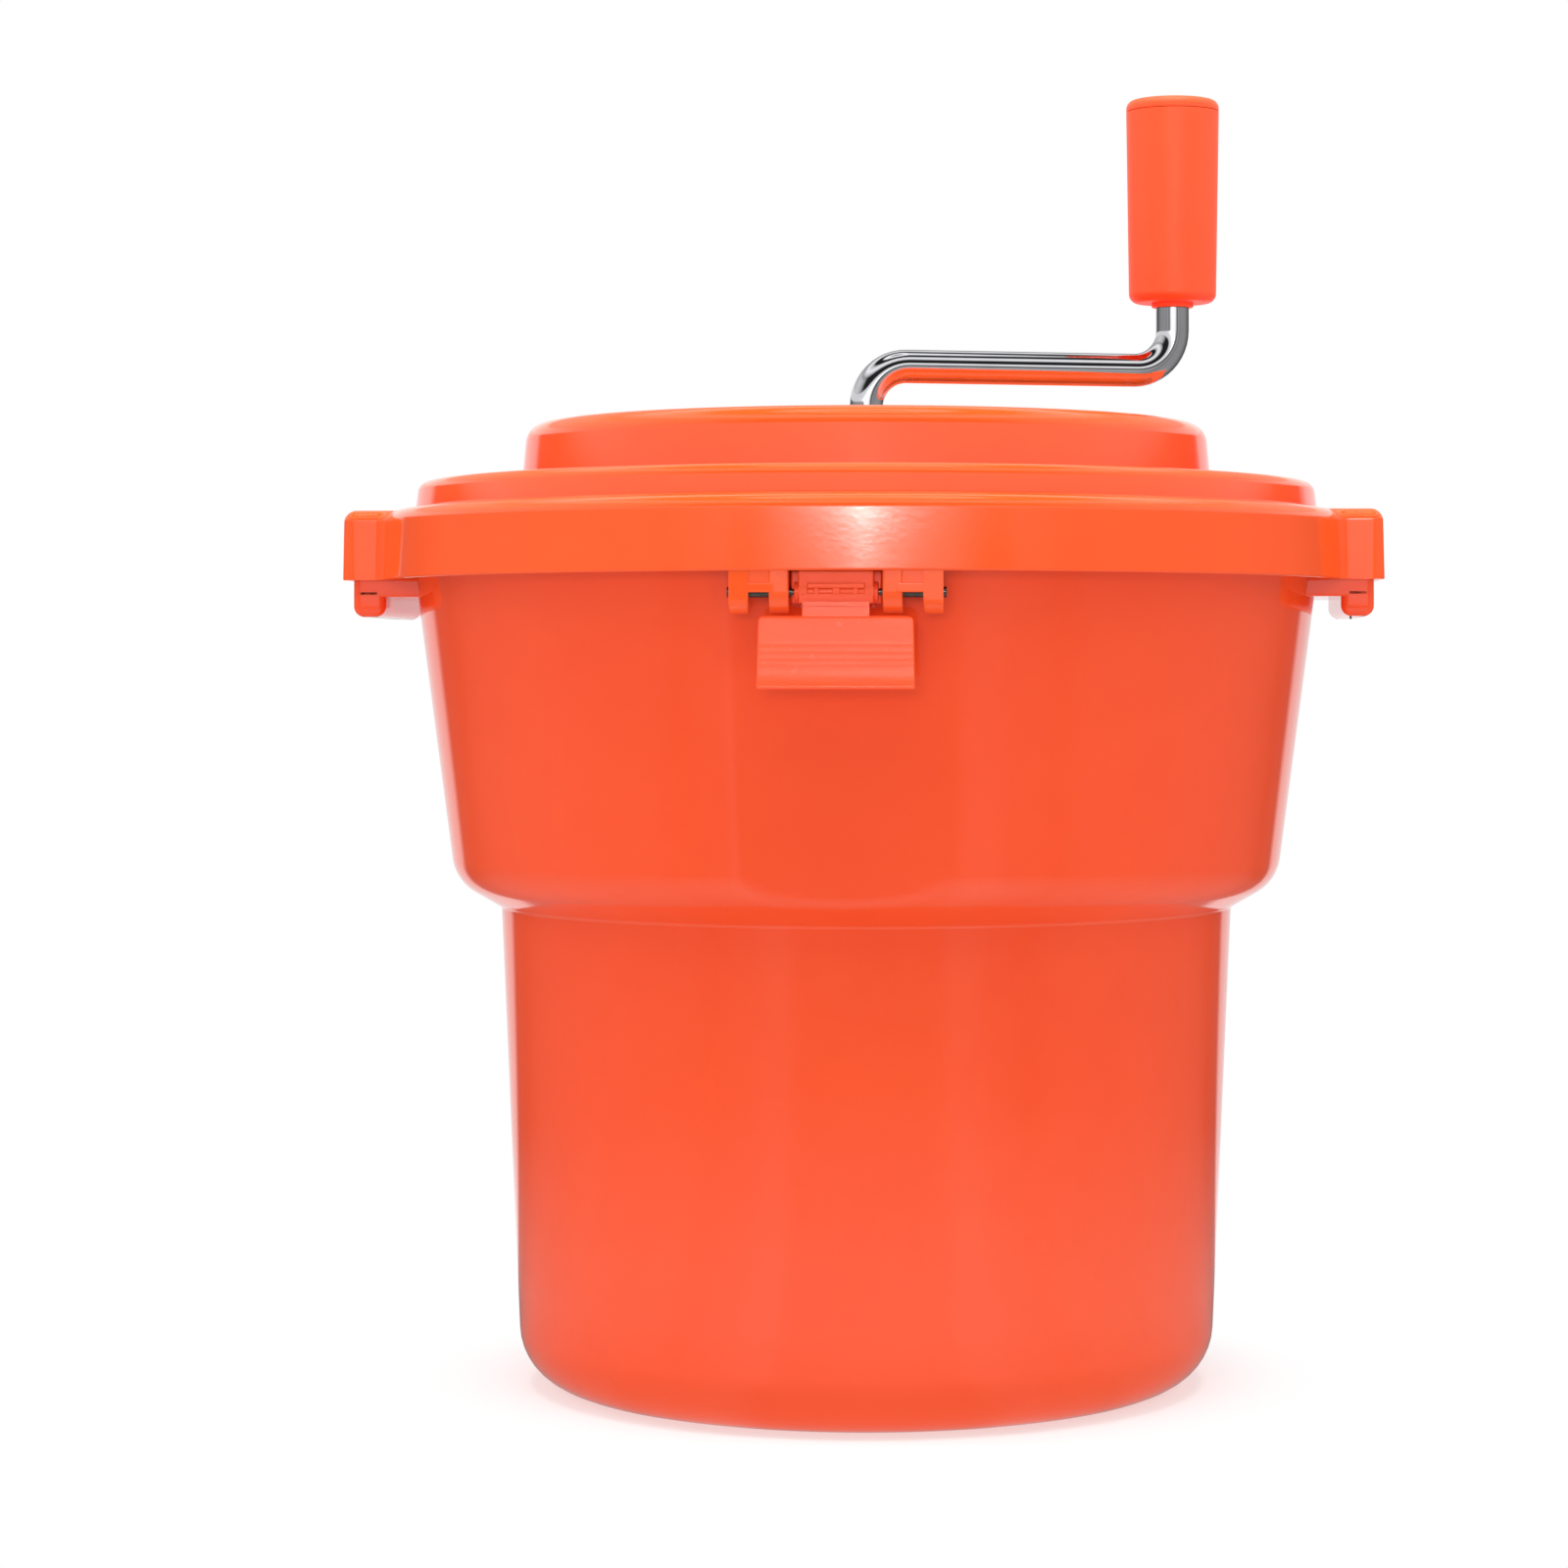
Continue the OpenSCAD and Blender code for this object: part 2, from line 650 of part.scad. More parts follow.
module grip_cap() color(orange) translate([crank_arm, 0, 0]) difference() {
    union() {
        turned([[0, grip_top - cap_h, 0], [grip_d / 2, grip_top - cap_h, 0], [grip_d / 2, grip_top, 3.5],
            [0, grip_top, 0]]);
        rod(cap_plug_r, grip_top - cap_h - cap_plug_h, grip_top - cap_h + cut);
    }
    rod(cap_plug_r - grip_wall, grip_top - cap_h - cap_plug_h - cut, grip_top - cap_h);
}

// ---------- gears ----------

// Angle between an involute's start and its point at radius r
function inv(base, r) = let (t = sqrt(max(0, pow(r / base, 2) - 1))) t * 180 / PI - atan(t);

// Outline of a spur gear with tooth centres at 0, 360/z, ... degrees, and teeth thinner by play
function gear(z, add, ded, play, steps = 4) =
    let (
        pitch = gear_m * z / 2,
        base = pitch * cos(pressure),
        low = max(base, pitch - ded),
        half = 90 / z - play / 2 / pitch * 180 / PI + inv(base, pitch),
        flank = [for (k = [0:steps]) let (r = low + (pitch + add - low) * k / steps)
            [r, half - inv(base, r)]],
        foot = pitch - ded < base ? [[pitch - ded, half]] : [],
        side = concat(foot, flank)
    )
    [for (i = [0:z - 1]) each concat(
        [for (k = [0:len(side) - 1]) polar(side[k][0], i * 360 / z - side[k][1])],
        [for (k = [len(side) - 1:-1:0]) polar(side[k][0], i * 360 / z + side[k][1])]
    )];

module small_gear(bore) difference() {
    translate([0, 0, gear_z]) linear_extrude(gear_w)
        polygon(gear(small_teeth, 0.9 * gear_m, 1.15 * gear_m, backlash));
    rod(bore, 0, 500);
}

module planet_gear(i) color(nylon) rotate(i * 120) translate([planet_orbit, 0, 0]) difference() {
    small_gear(planet_pin_r + run);
    tube(21, 9, gear_z + gear_w - 2.5, gear_z + gear_w + cut);
}

module ring_gear() color(nylon) difference() {
    union() {
        translate([0, 0, gear_z + 0.5]) linear_extrude(web_z - gear_z - 0.5) difference() {
            circle(ring_rim_r);
            polygon(gear(ring_teeth, 1.15 * gear_m, 0.68 * gear_m, -backlash));
        }
        rod(ring_rim_r, web_z, web_z + ring_web);
        rod(ring_hub_r, web_z, ring_hub_top);
        around(6) block(10, ring_rim_r - 4, -1.5, 1.5, web_z + ring_web - cut, web_z + ring_web + 2.5);
    }
    rod(rod_r, 0, 500);
    cross_pin(20);
}

module hex(z0, z1) translate([0, 0, z0]) cylinder(r = hex_r, h = z1 - z0, $fn = 6);

module sun_gear() color(nylon) difference() {
    small_gear(2);
    hex(0, 500);
}

// The shaft from the sun down to the drive disc, with a hexagon at each end
module output_shaft() color(steel) difference() {
    union() {
        hex(disc_z + disc_t, gear_z + gear_w);
        rod(journal_r, disc_hub_top - 5, gear_z);
    }
    rod(2, 0, gear_z - 4);
}

// ---------- drive disc ----------

module drive_disc() color(white) difference() {
    union() {
        rod(disc_r, disc_z, disc_z + disc_t);
        tube(disc_r, disc_r - 2.5, disc_z, disc_z + 6);
        rod(disc_hub_r, disc_z, disc_hub_top);
        around(12) block(disc_hub_r - 1, disc_r - 1, -1, 1, disc_z + disc_t - 0.5, disc_z + disc_t + 3.5);
        around(dogs) block(disc_r - 2, dog_reach, -dog_w / 2, dog_w / 2, disc_z, disc_z + disc_t);
        around(dogs) block(basket_top_r + 1.6, dog_reach, -dog_w / 2, dog_w / 2, dog_bottom, disc_z + disc_t);
    }
    rod(2, 0, 500);
    hex(disc_z + disc_t, 500);
    rod(journal_r, disc_hub_top - 5, 500);
}

module drive_washer() color(steel) tube(10, 2, disc_z - 1.2, disc_z);

module drive_screw() color(steel) difference() {
    screw_up(2, 18, 4, 2, disc_z - 1.2);
    block(-0.5, 0.5, -3, 3, disc_z - 4, disc_z - 2.2);
    block(-3, 3, -0.5, 0.5, disc_z - 4, disc_z - 2.2);
}

outer_tub();
pivot_post();
pivot_washer();
pivot_screw();
pivot_bush();
basket();
basket_hub();
lid_shell();
shaft_bush();
gear_plate();
gear_plate_screws();
planet_pins();
output_bush();
latch_pin();  // front_latch_pin
rotate(180) latch_pin();  // rear_latch_pin
rotate(crank_rest) crank_rod();
rotate(crank_rest) ring_gear();
rotate(crank_rest) crank_cross_pin();
shaft_retainer();
rotate(crank_rest) grip_clip();
rotate(crank_rest) grip_sleeve();
rotate(crank_rest) grip_bush();
rotate(crank_rest) grip_cap();
planet_gear(0);  // planet_gear_1
planet_gear(1);  // planet_gear_2
planet_gear(2);  // planet_gear_3
sun_gear();
output_shaft();
drive_disc();
drive_washer();
drive_screw();
latch();  // front_latch
rotate(180) latch();  // rear_latch
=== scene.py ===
# Salad spinner in moulded orange plastic, with a chromed crank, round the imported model.
# Lengths of the shapes are in millimetres, as in the model's source, until a mesh is made. The stage,
# its lights and the camera are in metres. Z is up and the front latch faces -Y.
import math
import json

import bmesh
import bpy
from mathutils import Matrix, Vector

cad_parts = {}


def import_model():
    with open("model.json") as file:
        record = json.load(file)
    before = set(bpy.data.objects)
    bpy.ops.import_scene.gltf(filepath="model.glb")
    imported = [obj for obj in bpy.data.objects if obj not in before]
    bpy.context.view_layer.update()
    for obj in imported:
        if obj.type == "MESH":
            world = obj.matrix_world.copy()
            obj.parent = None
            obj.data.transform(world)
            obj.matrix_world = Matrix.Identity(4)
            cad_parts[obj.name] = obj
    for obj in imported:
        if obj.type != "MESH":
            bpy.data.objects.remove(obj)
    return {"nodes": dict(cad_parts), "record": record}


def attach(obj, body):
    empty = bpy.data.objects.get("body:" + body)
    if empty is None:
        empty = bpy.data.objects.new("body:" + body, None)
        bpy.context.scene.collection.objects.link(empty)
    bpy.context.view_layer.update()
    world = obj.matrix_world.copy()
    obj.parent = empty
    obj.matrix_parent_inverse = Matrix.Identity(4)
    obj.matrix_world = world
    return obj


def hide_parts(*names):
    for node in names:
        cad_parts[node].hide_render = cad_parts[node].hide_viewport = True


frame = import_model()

MM = 0.001
WELD = 2e-6                # points of a mesh that are closer than this are joined, in metres
SHARP = math.radians(35)   # an edge that turns by more than this is drawn sharp
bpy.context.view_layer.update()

# Tub
TUB_WALL = 3
BASE_R = 142
BASE_ROUND = 24
BASE_RECESS = 6
FLOOR_Z = 9.5
FOOT_R = 104       # the recess under the base
WAIST_R = 150.5
WAIST_Z = 196
SHOULDER_R = 169.4
SHOULDER_Z = 206.9
SHOULDER_ROUND = 18
MOUTH_R = 188.8
RIM_Z = 354.4
WALL_SLOPE = (MOUTH_R - SHOULDER_R) / (RIM_Z - SHOULDER_Z)
FLANGE_R = 194
FLANGE_T = 4
FLANGE_DROP = 13    # how far the flange's edge is turned down
FLANGE_EDGE_T = 2.5
FLANGE_OUT = 0.03   # the flange's outer layer stands this far out where a latch panel cuts it
FLANGE_IN = 0.5     # and its inner layer this far back, so that the two stay apart
PANEL_CUT = 4.5
PANEL_SOFT = 0.9  # how softly a latch panel runs into the round wall
PANEL_LOW = 150   # a panel ends above this height
PANEL_SINE = 0.85  # both panels lie where the sine of the bearing from +X is more than this, either way
PANEL_EDGES = (9, 21)  # a panel's side edges lie between these bearings from its middle, in degrees
COLUMN_STEP = 2    # degrees between the wall's columns, and between those at a panel's side edges
EDGE_STEP = 0.4
RAMP_IN = 4        # the tub's floor slopes up between these distances outside the recess under it
RAMP_OUT = 11
BOSS_TOP = 20
BOSS_R = 26
BOSS_TOP_R = 15
POST_R = 6

# Lid
LID_WALL = 3
SKIRT_Z = 329.3
LEDGE_Z = 357.7
MID_Z = 369.6
TOP_Z = 394
LEDGE_ROUND = 5.5
MID_ROUND = 4.5
TOP_ROUND = 8
LID_R = 198.94
LEDGE_R = 197.6
MID_BASE_R = 185.7
MID_TOP_R = 184.3
TOP_BASE_R = 142.2
TOP_EDGE_R = 140
RECESS_R = 117
RECESS_T = 1
HUB_R = 23
HUB_H = 5
HUB_STEP = 1.5      # how much narrower the hub is at its top
BUSH_R = 11
ROOF_Z = TOP_Z - RECESS_T - LID_WALL + 0.2
RIM_GAP = 0.3       # between the tub's rim and the lid's ledge
PLATE_SCREWS = 6    # the gear plate's screws, on a circle of this radius, and the bosses that they go into
PLATE_SCREW_R = 130
SCREW_BOSS_R = 5
SCREW_HOLE_R = 1.7
SPIGOT_R = MOUTH_R - TUB_WALL - 1.9
SPIGOT_Z = RIM_Z - 10.4
SPIGOT_TOP = RIM_Z + 1.3
SPIGOT_T = 2.5
SPIGOT_GAP = 47     # half the distance between the ring's two parts, measured along a latch panel

# Ears and handles
EAR_REACH = 210.5
EAR_HALF = 50
EAR_ROUND = 6
EAR_BLEND = 5
EAR_LEAN = 0.8  # how much further an ear reaches at its bottom than at its top
HANDLE_REACH = 206.3
HANDLE_HALF = 45.8
HANDLE_ROUND = 3.2
HANDLE_TOP = RIM_Z - FLANGE_T
SHELF_Z = SKIRT_Z - 6.8
LIP_Z = SKIRT_Z - 14.8
LIP_T = 13.2
LIP_ROUND = 4.3

# Latches
PIN_Y = -188.8
PIN_Z = SKIRT_Z - 7.8
BRACKET_IN = 17.2
BRACKET_W = 22.2
BRACKET_LEG = 7.3
BRACKET_NOSE = 8
BRACKET_BACK = -184.7
WINDOW_TOP = PIN_Z - 0.2
HOOD_H = 3.4       # a hood over each bracket's window: its height, how far in from the
HOOD_IN = 5.4      # bracket's sides it starts, and how far it stands out in front
HOOD_OUT = 0.4
BARREL_R = 4.2
BARREL_HALF = 15.5
FACE_HALF = 14
FACE_Y = -193.4
FACE_TOP = PIN_Z + 7.9
FACE_BACK = PIN_Y + 1
BACKING_HALF = 16.8   # a wider plate behind the knuckle's face
BACKING_Y = PIN_Y - 1.6
BAR_HALF = 10.75
BAR_T = 0.6
BAR_H = 1.8
SLOT_Z = PIN_Z - 0.6
SLOT_H = 2
SLOT_DEPTH = 1.6
SLOT_BARS = [(-FACE_HALF, -10.5), (-8.1, -6.4), (-1.4, 1.4), (6.4, 8.1), (10.5, FACE_HALF)]
HOOK_W = 5
HOOK_PITCH = 9
HOOK_TIP = -184.6
HOOK_TOP = PIN_Z - 6.5
CATCH_Y = -184.1
CATCH_DEPTH = 3.5
CATCH_HALF = 14
CATCH_Z = PIN_Z - 6
CATCH_H = 3
NECK_HALF = 12.4
NECK_Y = -194.6
NECK_TOP = PIN_Z - 3.6
NECK_LEAN = math.radians(4)  # its front looks up a little
GROOVE_TOP = 1.6   # a fine groove across the neck lies between these depths under its top
GROOVE_BOTTOM = 1.9
FLAP_HALF = 28.5
FLAP_H = 27
FLAP_T = 2.5
FLAP_Y = -193.6
FLAP_TOP = PIN_Z - 8.7
FLAP_TILT = 2.2
FLAP_CORNER = 2.6
FLAP_FLARE = 0.6   # how much wider each side of the flap is at its bottom
FLAP_CURL = 0.8    # how far its bottom edge curls out
CURL_TOP = 19      # how far down the flap the curl begins
EDGE_ROUND = 0.9
RIB_DEPTH = 0.035
RIB_TOP = 10.5
RIB_PITCH = 2.6
RIB_SPAN = (9.5, 18.5)

# Crank
ROD_R = 7
BEND_R = 17
CRANK_ARM = 132.4
CRANK_REST = math.radians(16)  # the arm's bearing from +X, towards the rear
ARM_Z = TOP_Z + 25.1
ROD_BOTTOM = MID_Z + 10
GRIP_TOP = ARM_Z + 114
GRIP_BOTTOM = GRIP_TOP - 85.5
GRIP_R = 19.5
GRIP_LOW_R = 18.3
CAP_H = 4.8
SEAM = 0.2
SPINDLE_R = 5.5
SPINDLE_TOP = GRIP_TOP - 18
COLLAR_R = 8.8
COLLAR_H = 1.9
GRIP_BUSH_R = 8.2
GRIP_WALL = 3
GRIP_FLOOR = 5
PLUG_H = 8          # the cap's plug goes this far into the grip
PLUG_GAP = 0.3
CLIP_ROOM = 3.5     # the spindle stands this far out of its bush, for the clip
SPINDLE_GAP = 0.05

# Camera
CAMERA_BEARING = math.radians(3.3)  # to the right of the front latch
CAMERA_DISTANCE = 1.645
CAMERA_HEIGHT = 0.2925
CAMERA_SHIFT = (-0.0525, -0.072)
FOCAL_LENGTH = 91.1  # millimetres, with the sensor's width
SENSOR_W = 36

# Stage. A height here is that of a direction, as the sine of its elevation. A bearing is counted from
# straight behind, as a part of half a turn. A reach is a place's distance from the middle of the floor.
MIRRORED = 0.9        # brightness of the walls and lights in reflections
SOFT_LIGHT = 0.55     # brightness of the even light from all round
FLOOR_LIGHT = 1.06    # brightness of the light that the floor throws back
FLOOR_R = 30
FLOOR_COLOUR = (0.93, 0.93, 0.93, 1)
PURE_WHITE = (1, 1, 1, 1)
SHEET_SHIFT = math.radians(4.3)  # how far the white sheet behind stands to the left
# The reflection of the front soft box, by the bearing and elevation of its middle
SPOT_BEARING = math.radians(2.5)
SPOT_HEIGHT = math.radians(8.92)
SPOT_ROUND = 0.03     # how round its middle is
SPOTS = [(72, 6.5, 0.74), (3.2, 16, 3)]  # brightness, and how fast it fades across and up, in degrees
# Brightness of the lights overhead by height, and of the walls and the side lights by bearing
HEIGHT_LEVELS = [(0.0, 1.30), (0.32, 1.30), (0.37, 0.03), (0.62, 0.03), (0.68, 0.8), (0.78, 1.9),
                 (0.86, 1.1), (0.895, 0.03), (0.955, 0.03), (0.97, 1.9), (0.988, 1.9), (0.995, 0.8),
                 (1.0, 0.7)]
SIDE_LEVELS = [(0.0, 0.45), (0.25, 0.9), (0.5, 1.2), (0.65, 0.9), (0.78, 0.03), (1.0, 0.03)]
SIDE_FADE = [(0.60, 1), (0.75, 0)]    # what is left of the side lights by height
WALL_LEVELS = [(0.0, 1.0), (0.182, 1.0), (0.207, 0.15), (0.27, 0.12), (0.36, 0.30), (0.5, 0.5), (0.70, 0.5),
               (0.74, 0.38), (0.78, 0.5), (1.0, 0.5)]
WALL_TOP = [(0.145, 0), (0.18, 1)]    # the lights' share by height, where the walls end
# What the walls' brightness is multiplied by at a bearing: above the floor, and as the floor mirrors it
GAP_LEVELS = [(0.81, 1.0), (0.83, 0.2), (0.86, 0.2), (0.89, 1.0)]
PANEL_LEVELS = [(0.80, 1.0), (0.84, 1.36), (0.865, 1.36), (0.895, 0.8), (1.0, 0.8)]
# A low glow in front by bearing, and what is left of it by height
GLOW_LEVELS = [(0.86, 0.0), (0.92, 0.95)]
GLOW_FADE = [(0.09, 1), (0.13, 0)]
# The floor by reach: how white it looks, and in reflections the glow near the object and the shade there
FLOOR_WHITE = [(0.14, 0.55), (0.19, 1)]
NEAR_LEVELS = [(0.40, 0.6), (0.85, 0.0)]
NEAR_SIDES = [(0.45, 0.3), (0.85, 1)]      # what is left of that glow by bearing
SHADE_LEVELS = [(0.14, 0.45), (0.30, 1.0)]
LIGHT_AIM = Vector((0, 0, 0.25))           # the soft boxes look here

# ---------- shapes ----------


def turn(vector, angle):
    """A 2-D vector turned by an angle in radians."""
    c, s = math.cos(angle), math.sin(angle)
    return Vector((vector.x * c - vector.y * s, vector.x * s + vector.y * c))


def rounded(points, step=11):
    """A closed path through points (a, b, corner radius), with each corner rounded."""
    path = []
    count = len(points)
    for i, (x, y, radius) in enumerate(points):
        corner = Vector((x, y))
        if radius == 0:
            path.append(corner)
            continue
        before = (Vector(points[i - 1][:2]) - corner).normalized()
        after = (Vector(points[(i + 1) % count][:2]) - corner).normalized()
        half = before.angle(after) / 2
        centre = corner + (before + after).normalized() * radius / math.sin(half)
        start = corner + before * radius / math.tan(half) - centre
        end = corner + after * radius / math.tan(half) - centre
        sweep = math.atan2(start.x * end.y - start.y * end.x, start.dot(end))
        steps = max(2, math.ceil(abs(math.degrees(sweep)) / step - 0.01))
        path += [centre + turn(start, sweep * k / steps) for k in range(steps + 1)]
    return path


def skin(mesh, rings, wrap=False):
    """Joins closed rings of equal length into a shell. Its ends are capped unless it wraps."""
    rows = [[mesh.verts.new(Vector(point) * MM) for point in ring] for ring in rings]
    for lower, upper in zip(rows, rows[1:] + rows[:1] if wrap else rows[1:]):
        for k, vertex in enumerate(lower):
            j = (k + 1) % len(lower)
            mesh.faces.new((vertex, lower[j], upper[j], upper[k]))
    if not wrap:
        mesh.faces.new(rows[0][::-1])
        mesh.faces.new(rows[-1])


def lathe(mesh, section, columns=96, centre=(0, 0), shape=None):
    """Turns a closed section of (radius, z) round Z. shape(index, radius, z, angle) may change a radius."""
    angles = columns
    if isinstance(columns, int):
        angles = [2 * math.pi * k / columns for k in range(columns)]
    rings = []
    for angle in angles:
        ring = []
        for k, (r, z) in enumerate(section):
            radius = shape(k, r, z, angle) if shape else r
            ring.append((centre[0] + radius * math.cos(angle), centre[1] + radius * math.sin(angle), z))
        rings.append(ring)
    skin(mesh, rings, wrap=True)


def plate(mesh, outline, z0, z1, edge=0.6, place=None):
    """A slab with a convex outline of (x, y) and rounded edges, from z0 to z1, then put in place."""
    steps = 4
    rims = [(edge * (1 - math.sin(k * math.pi / 2 / steps)), edge * (1 - math.cos(k * math.pi / 2 / steps)))
            for k in range(steps + 1)]
    levels = [(inset, z0 + rise) for inset, rise in rims]
    levels += [(inset, z1 - rise) for inset, rise in reversed(rims)]
    rings = []
    for inset, z in levels:
        rings.append([(x, y, z) for x, y in shrunk(outline, inset)])
    if place:
        rings = [[place @ Vector(point) for point in ring] for ring in rings]
    skin(mesh, rings)


def shrunk(outline, inset):
    """A convex outline, counter-clockwise, with each point moved inwards from both its sides."""
    result = []
    for i, point in enumerate(outline):
        back = (Vector(outline[i - 1]) - Vector(point)).normalized()
        ahead = (Vector(outline[(i + 1) % len(outline)]) - Vector(point)).normalized()
        inwards = Vector((-ahead.y + back.y, ahead.x - back.x)).normalized()
        slant = max(0.4, inwards.dot(Vector((-ahead.y, ahead.x))))
        result.append(Vector(point) + inwards * inset / slant)
    return result


def box_outline(x0, x1, y0, y1, corner=0.8):
    """A rectangle with rounded corners."""
    return rounded([(x0, y0, corner), (x1, y0, corner), (x1, y1, corner), (x0, y1, corner)], 18)


def block(mesh, x0, x1, y0, y1, z0, z1, edge=0.5, corner=0.8):
    """A box with rounded edges and corners."""
    plate(mesh, box_outline(x0, x1, y0, y1, corner), z0, z1, edge)


# Turns a plan drawn in (y, z) and raised along x into place
ALONG_X = Matrix(((0, 0, 1, 0), (1, 0, 0, 0), (0, 1, 0, 0), (0, 0, 0, 1)))


def make(name, mesh, material, body, nodes, spin=0):
    """Makes a piece from a bmesh: it gets a material, rides on a body and replaces CAD nodes."""
    if spin:
        bmesh.ops.rotate(mesh, verts=mesh.verts, matrix=Matrix.Rotation(spin, 3, "Z"))
    bmesh.ops.remove_doubles(mesh, verts=mesh.verts, dist=WELD)
    bmesh.ops.dissolve_degenerate(mesh, edges=mesh.edges, dist=WELD)
    bmesh.ops.recalc_face_normals(mesh, faces=mesh.faces)
    for face in mesh.faces:
        face.smooth = True
    for edge in mesh.edges:
        if len(edge.link_faces) == 2 and edge.calc_face_angle(0) > SHARP:
            edge.smooth = False
    data = bpy.data.meshes.new(name)
    mesh.to_mesh(data)
    mesh.free()
    piece = bpy.data.objects.new(name, data)
    bpy.context.scene.collection.objects.link(piece)
    piece.data.materials.append(material)
    normals = piece.modifiers.new("even_shading", "WEIGHTED_NORMAL")
    normals.keep_sharp = True
    normals.weight = 80
    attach(piece, body)
    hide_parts(*nodes)
    return piece


# ---------- materials ----------


class Nodes:
    """A material's node tree, with short ways to add and join nodes."""

    def __init__(self, name):
        self.material = bpy.data.materials.new(name)
        self.material.use_nodes = True
        self.tree = self.material.node_tree
        self.shader = self.tree.nodes["Principled BSDF"]

    def add(self, kind, **inputs):
        """Adds a node and fills its inputs, by name, with numbers or links."""
        node = self.tree.nodes.new("ShaderNode" + kind)
        for key, value in inputs.items():
            if isinstance(value, bpy.types.NodeSocket):
                self.tree.links.new(value, node.inputs[key.replace("_", " ")])
            else:
                node.inputs[key.replace("_", " ")].default_value = value
        return node

    def join(self, output, name):
        self.tree.links.new(output, self.shader.inputs[name])

    def set(self, **values):
        for key, value in values.items():
            self.shader.inputs[key.replace("_", " ")].default_value = value

    def noise(self, size, detail=2.0, rough=0.5):
        """Noise whose lumps are about size millimetres across."""
        place = self.tree.nodes.new("ShaderNodeTexCoord")
        return self.add("TexNoise", Vector=place.outputs["Object"], Scale=1 / (size * MM), Detail=detail,
                        Roughness=rough).outputs["Fac"]

    def scale(self, value, low_in, high_in, low_out, high_out):
        """A value from low_in to high_in, stretched to run from low_out to high_out."""
        return self.add("MapRange", Value=value, From_Min=low_in, From_Max=high_in, To_Min=low_out,
                        To_Max=high_out).outputs["Result"]

    def mix(self, fac, first, second):
        """Blends two colours; each is three numbers or a link."""
        node = self.tree.nodes.new("ShaderNodeMix")
        node.data_type = "RGBA"
        self.tree.links.new(fac, node.inputs["Factor"])
        for key, value in (("A", first), ("B", second)):
            sockets = [s for s in node.inputs if s.name == key and s.type == "RGBA"]
            if isinstance(value, bpy.types.NodeSocket):
                self.tree.links.new(value, sockets[0])
            else:
                sockets[0].default_value = (*value, 1)
        return [s for s in node.outputs if s.type == "RGBA"][0]

    def bump(self, height, strength, depth, normal=None):
        node = self.add("Bump", Height=height, Strength=strength, Distance=depth * MM)
        if normal:
            self.tree.links.new(normal, node.inputs["Normal"])
        return node.outputs["Normal"]


ORANGE_TONES = [(0.90, 0.078, 0.018), (0.92, 0.086, 0.021), (0.86, 0.070, 0.017)]


def orange_plastic(name, rough=0.045, peel=0.04, yellow=0.0, shine=0.5):
    """Glossy moulded polypropylene: faint flow marks, a very slight orange peel and a few scuffs.

    yellow moves the colour a little from red-orange towards yellow. On the lid this is painted light: a
    lighter copy of the same orange where the lid is more brightly lit."""
    n = Nodes(name)
    flow = n.noise(90, 3)
    mottle = n.noise(14, 4)
    first, second, dark = [(red, green + yellow, blue - 0.35 * yellow) for red, green, blue in ORANGE_TONES]
    tone = n.mix(n.scale(flow, 0.35, 0.65, 0, 1), first, second)
    n.join(n.mix(n.scale(mottle, 0.4, 0.8, 0, 0.25), tone, dark), "Base Color")
    n.join(n.scale(n.noise(6, 5, 0.6), 0.35, 0.75, rough, rough + 0.04), "Roughness")
    peeled = n.bump(n.noise(2.2, 2), peel, 0.25)
    n.join(n.bump(flow, 0.08, 1.2, peeled), "Normal")
    n.set(IOR=1.49, Specular_IOR_Level=shine, Subsurface_Weight=0.06, Subsurface_Scale=0.004)
    n.shader.inputs["Subsurface Radius"].default_value = (1.0, 0.25, 0.1)
    return n.material


def chromed_steel(name):
    """Bright chrome with faint polishing marks."""
    n = Nodes(name)
    patches = n.scale(n.noise(8, 4), 0.4, 0.7, 0, 1)
    n.join(n.mix(patches, (0.53, 0.53, 0.55), (0.49, 0.49, 0.51)), "Base Color")
    n.join(n.scale(n.noise(3, 6, 0.65), 0.3, 0.75, 0.015, 0.05), "Roughness")
    n.join(n.bump(n.noise(1.2, 3), 0.01, 0.05), "Normal")
    n.set(Metallic=1.0)
    return n.material


def stainless(name, first=(0.44, 0.44, 0.45), second=(0.6, 0.6, 0.6)):
    """Turned stainless steel, with fine marks and duller patches."""
    n = Nodes(name)
    n.join(n.mix(n.noise(3, 4), first, second), "Base Color")
    n.join(n.scale(n.noise(1.0, 6, 0.7), 0.3, 0.7, 0.18, 0.36), "Roughness")
    n.join(n.bump(n.noise(0.5, 4), 0.12, 0.1), "Normal")
    n.set(Metallic=1.0)
    return n.material


def bronze(name):
    """Sintered bronze, grainy and dull."""
    n = Nodes(name)
    n.join(n.mix(n.noise(1.5, 5), (0.42, 0.22, 0.09), (0.56, 0.33, 0.15)), "Base Color")
    n.join(n.scale(n.noise(0.8, 5), 0.3, 0.7, 0.3, 0.5), "Roughness")
    n.join(n.bump(n.noise(0.4, 3), 0.3, 0.1), "Normal")
    n.set(Metallic=1.0)
    return n.material


def pale_plastic(name, first, second, rough, depth=0.3):
    """Satin moulded plastic with a fine spark-eroded texture."""
    n = Nodes(name)
    n.join(n.mix(n.scale(n.noise(40, 4), 0.35, 0.7, 0, 1), first, second), "Base Color")
    n.join(n.scale(n.noise(5, 5), 0.3, 0.7, rough, rough + 0.14), "Roughness")
    n.join(n.bump(n.noise(0.9, 3), depth, 0.12), "Normal")
    n.set(IOR=1.5, Subsurface_Weight=0.15, Subsurface_Scale=0.004)
    return n.material


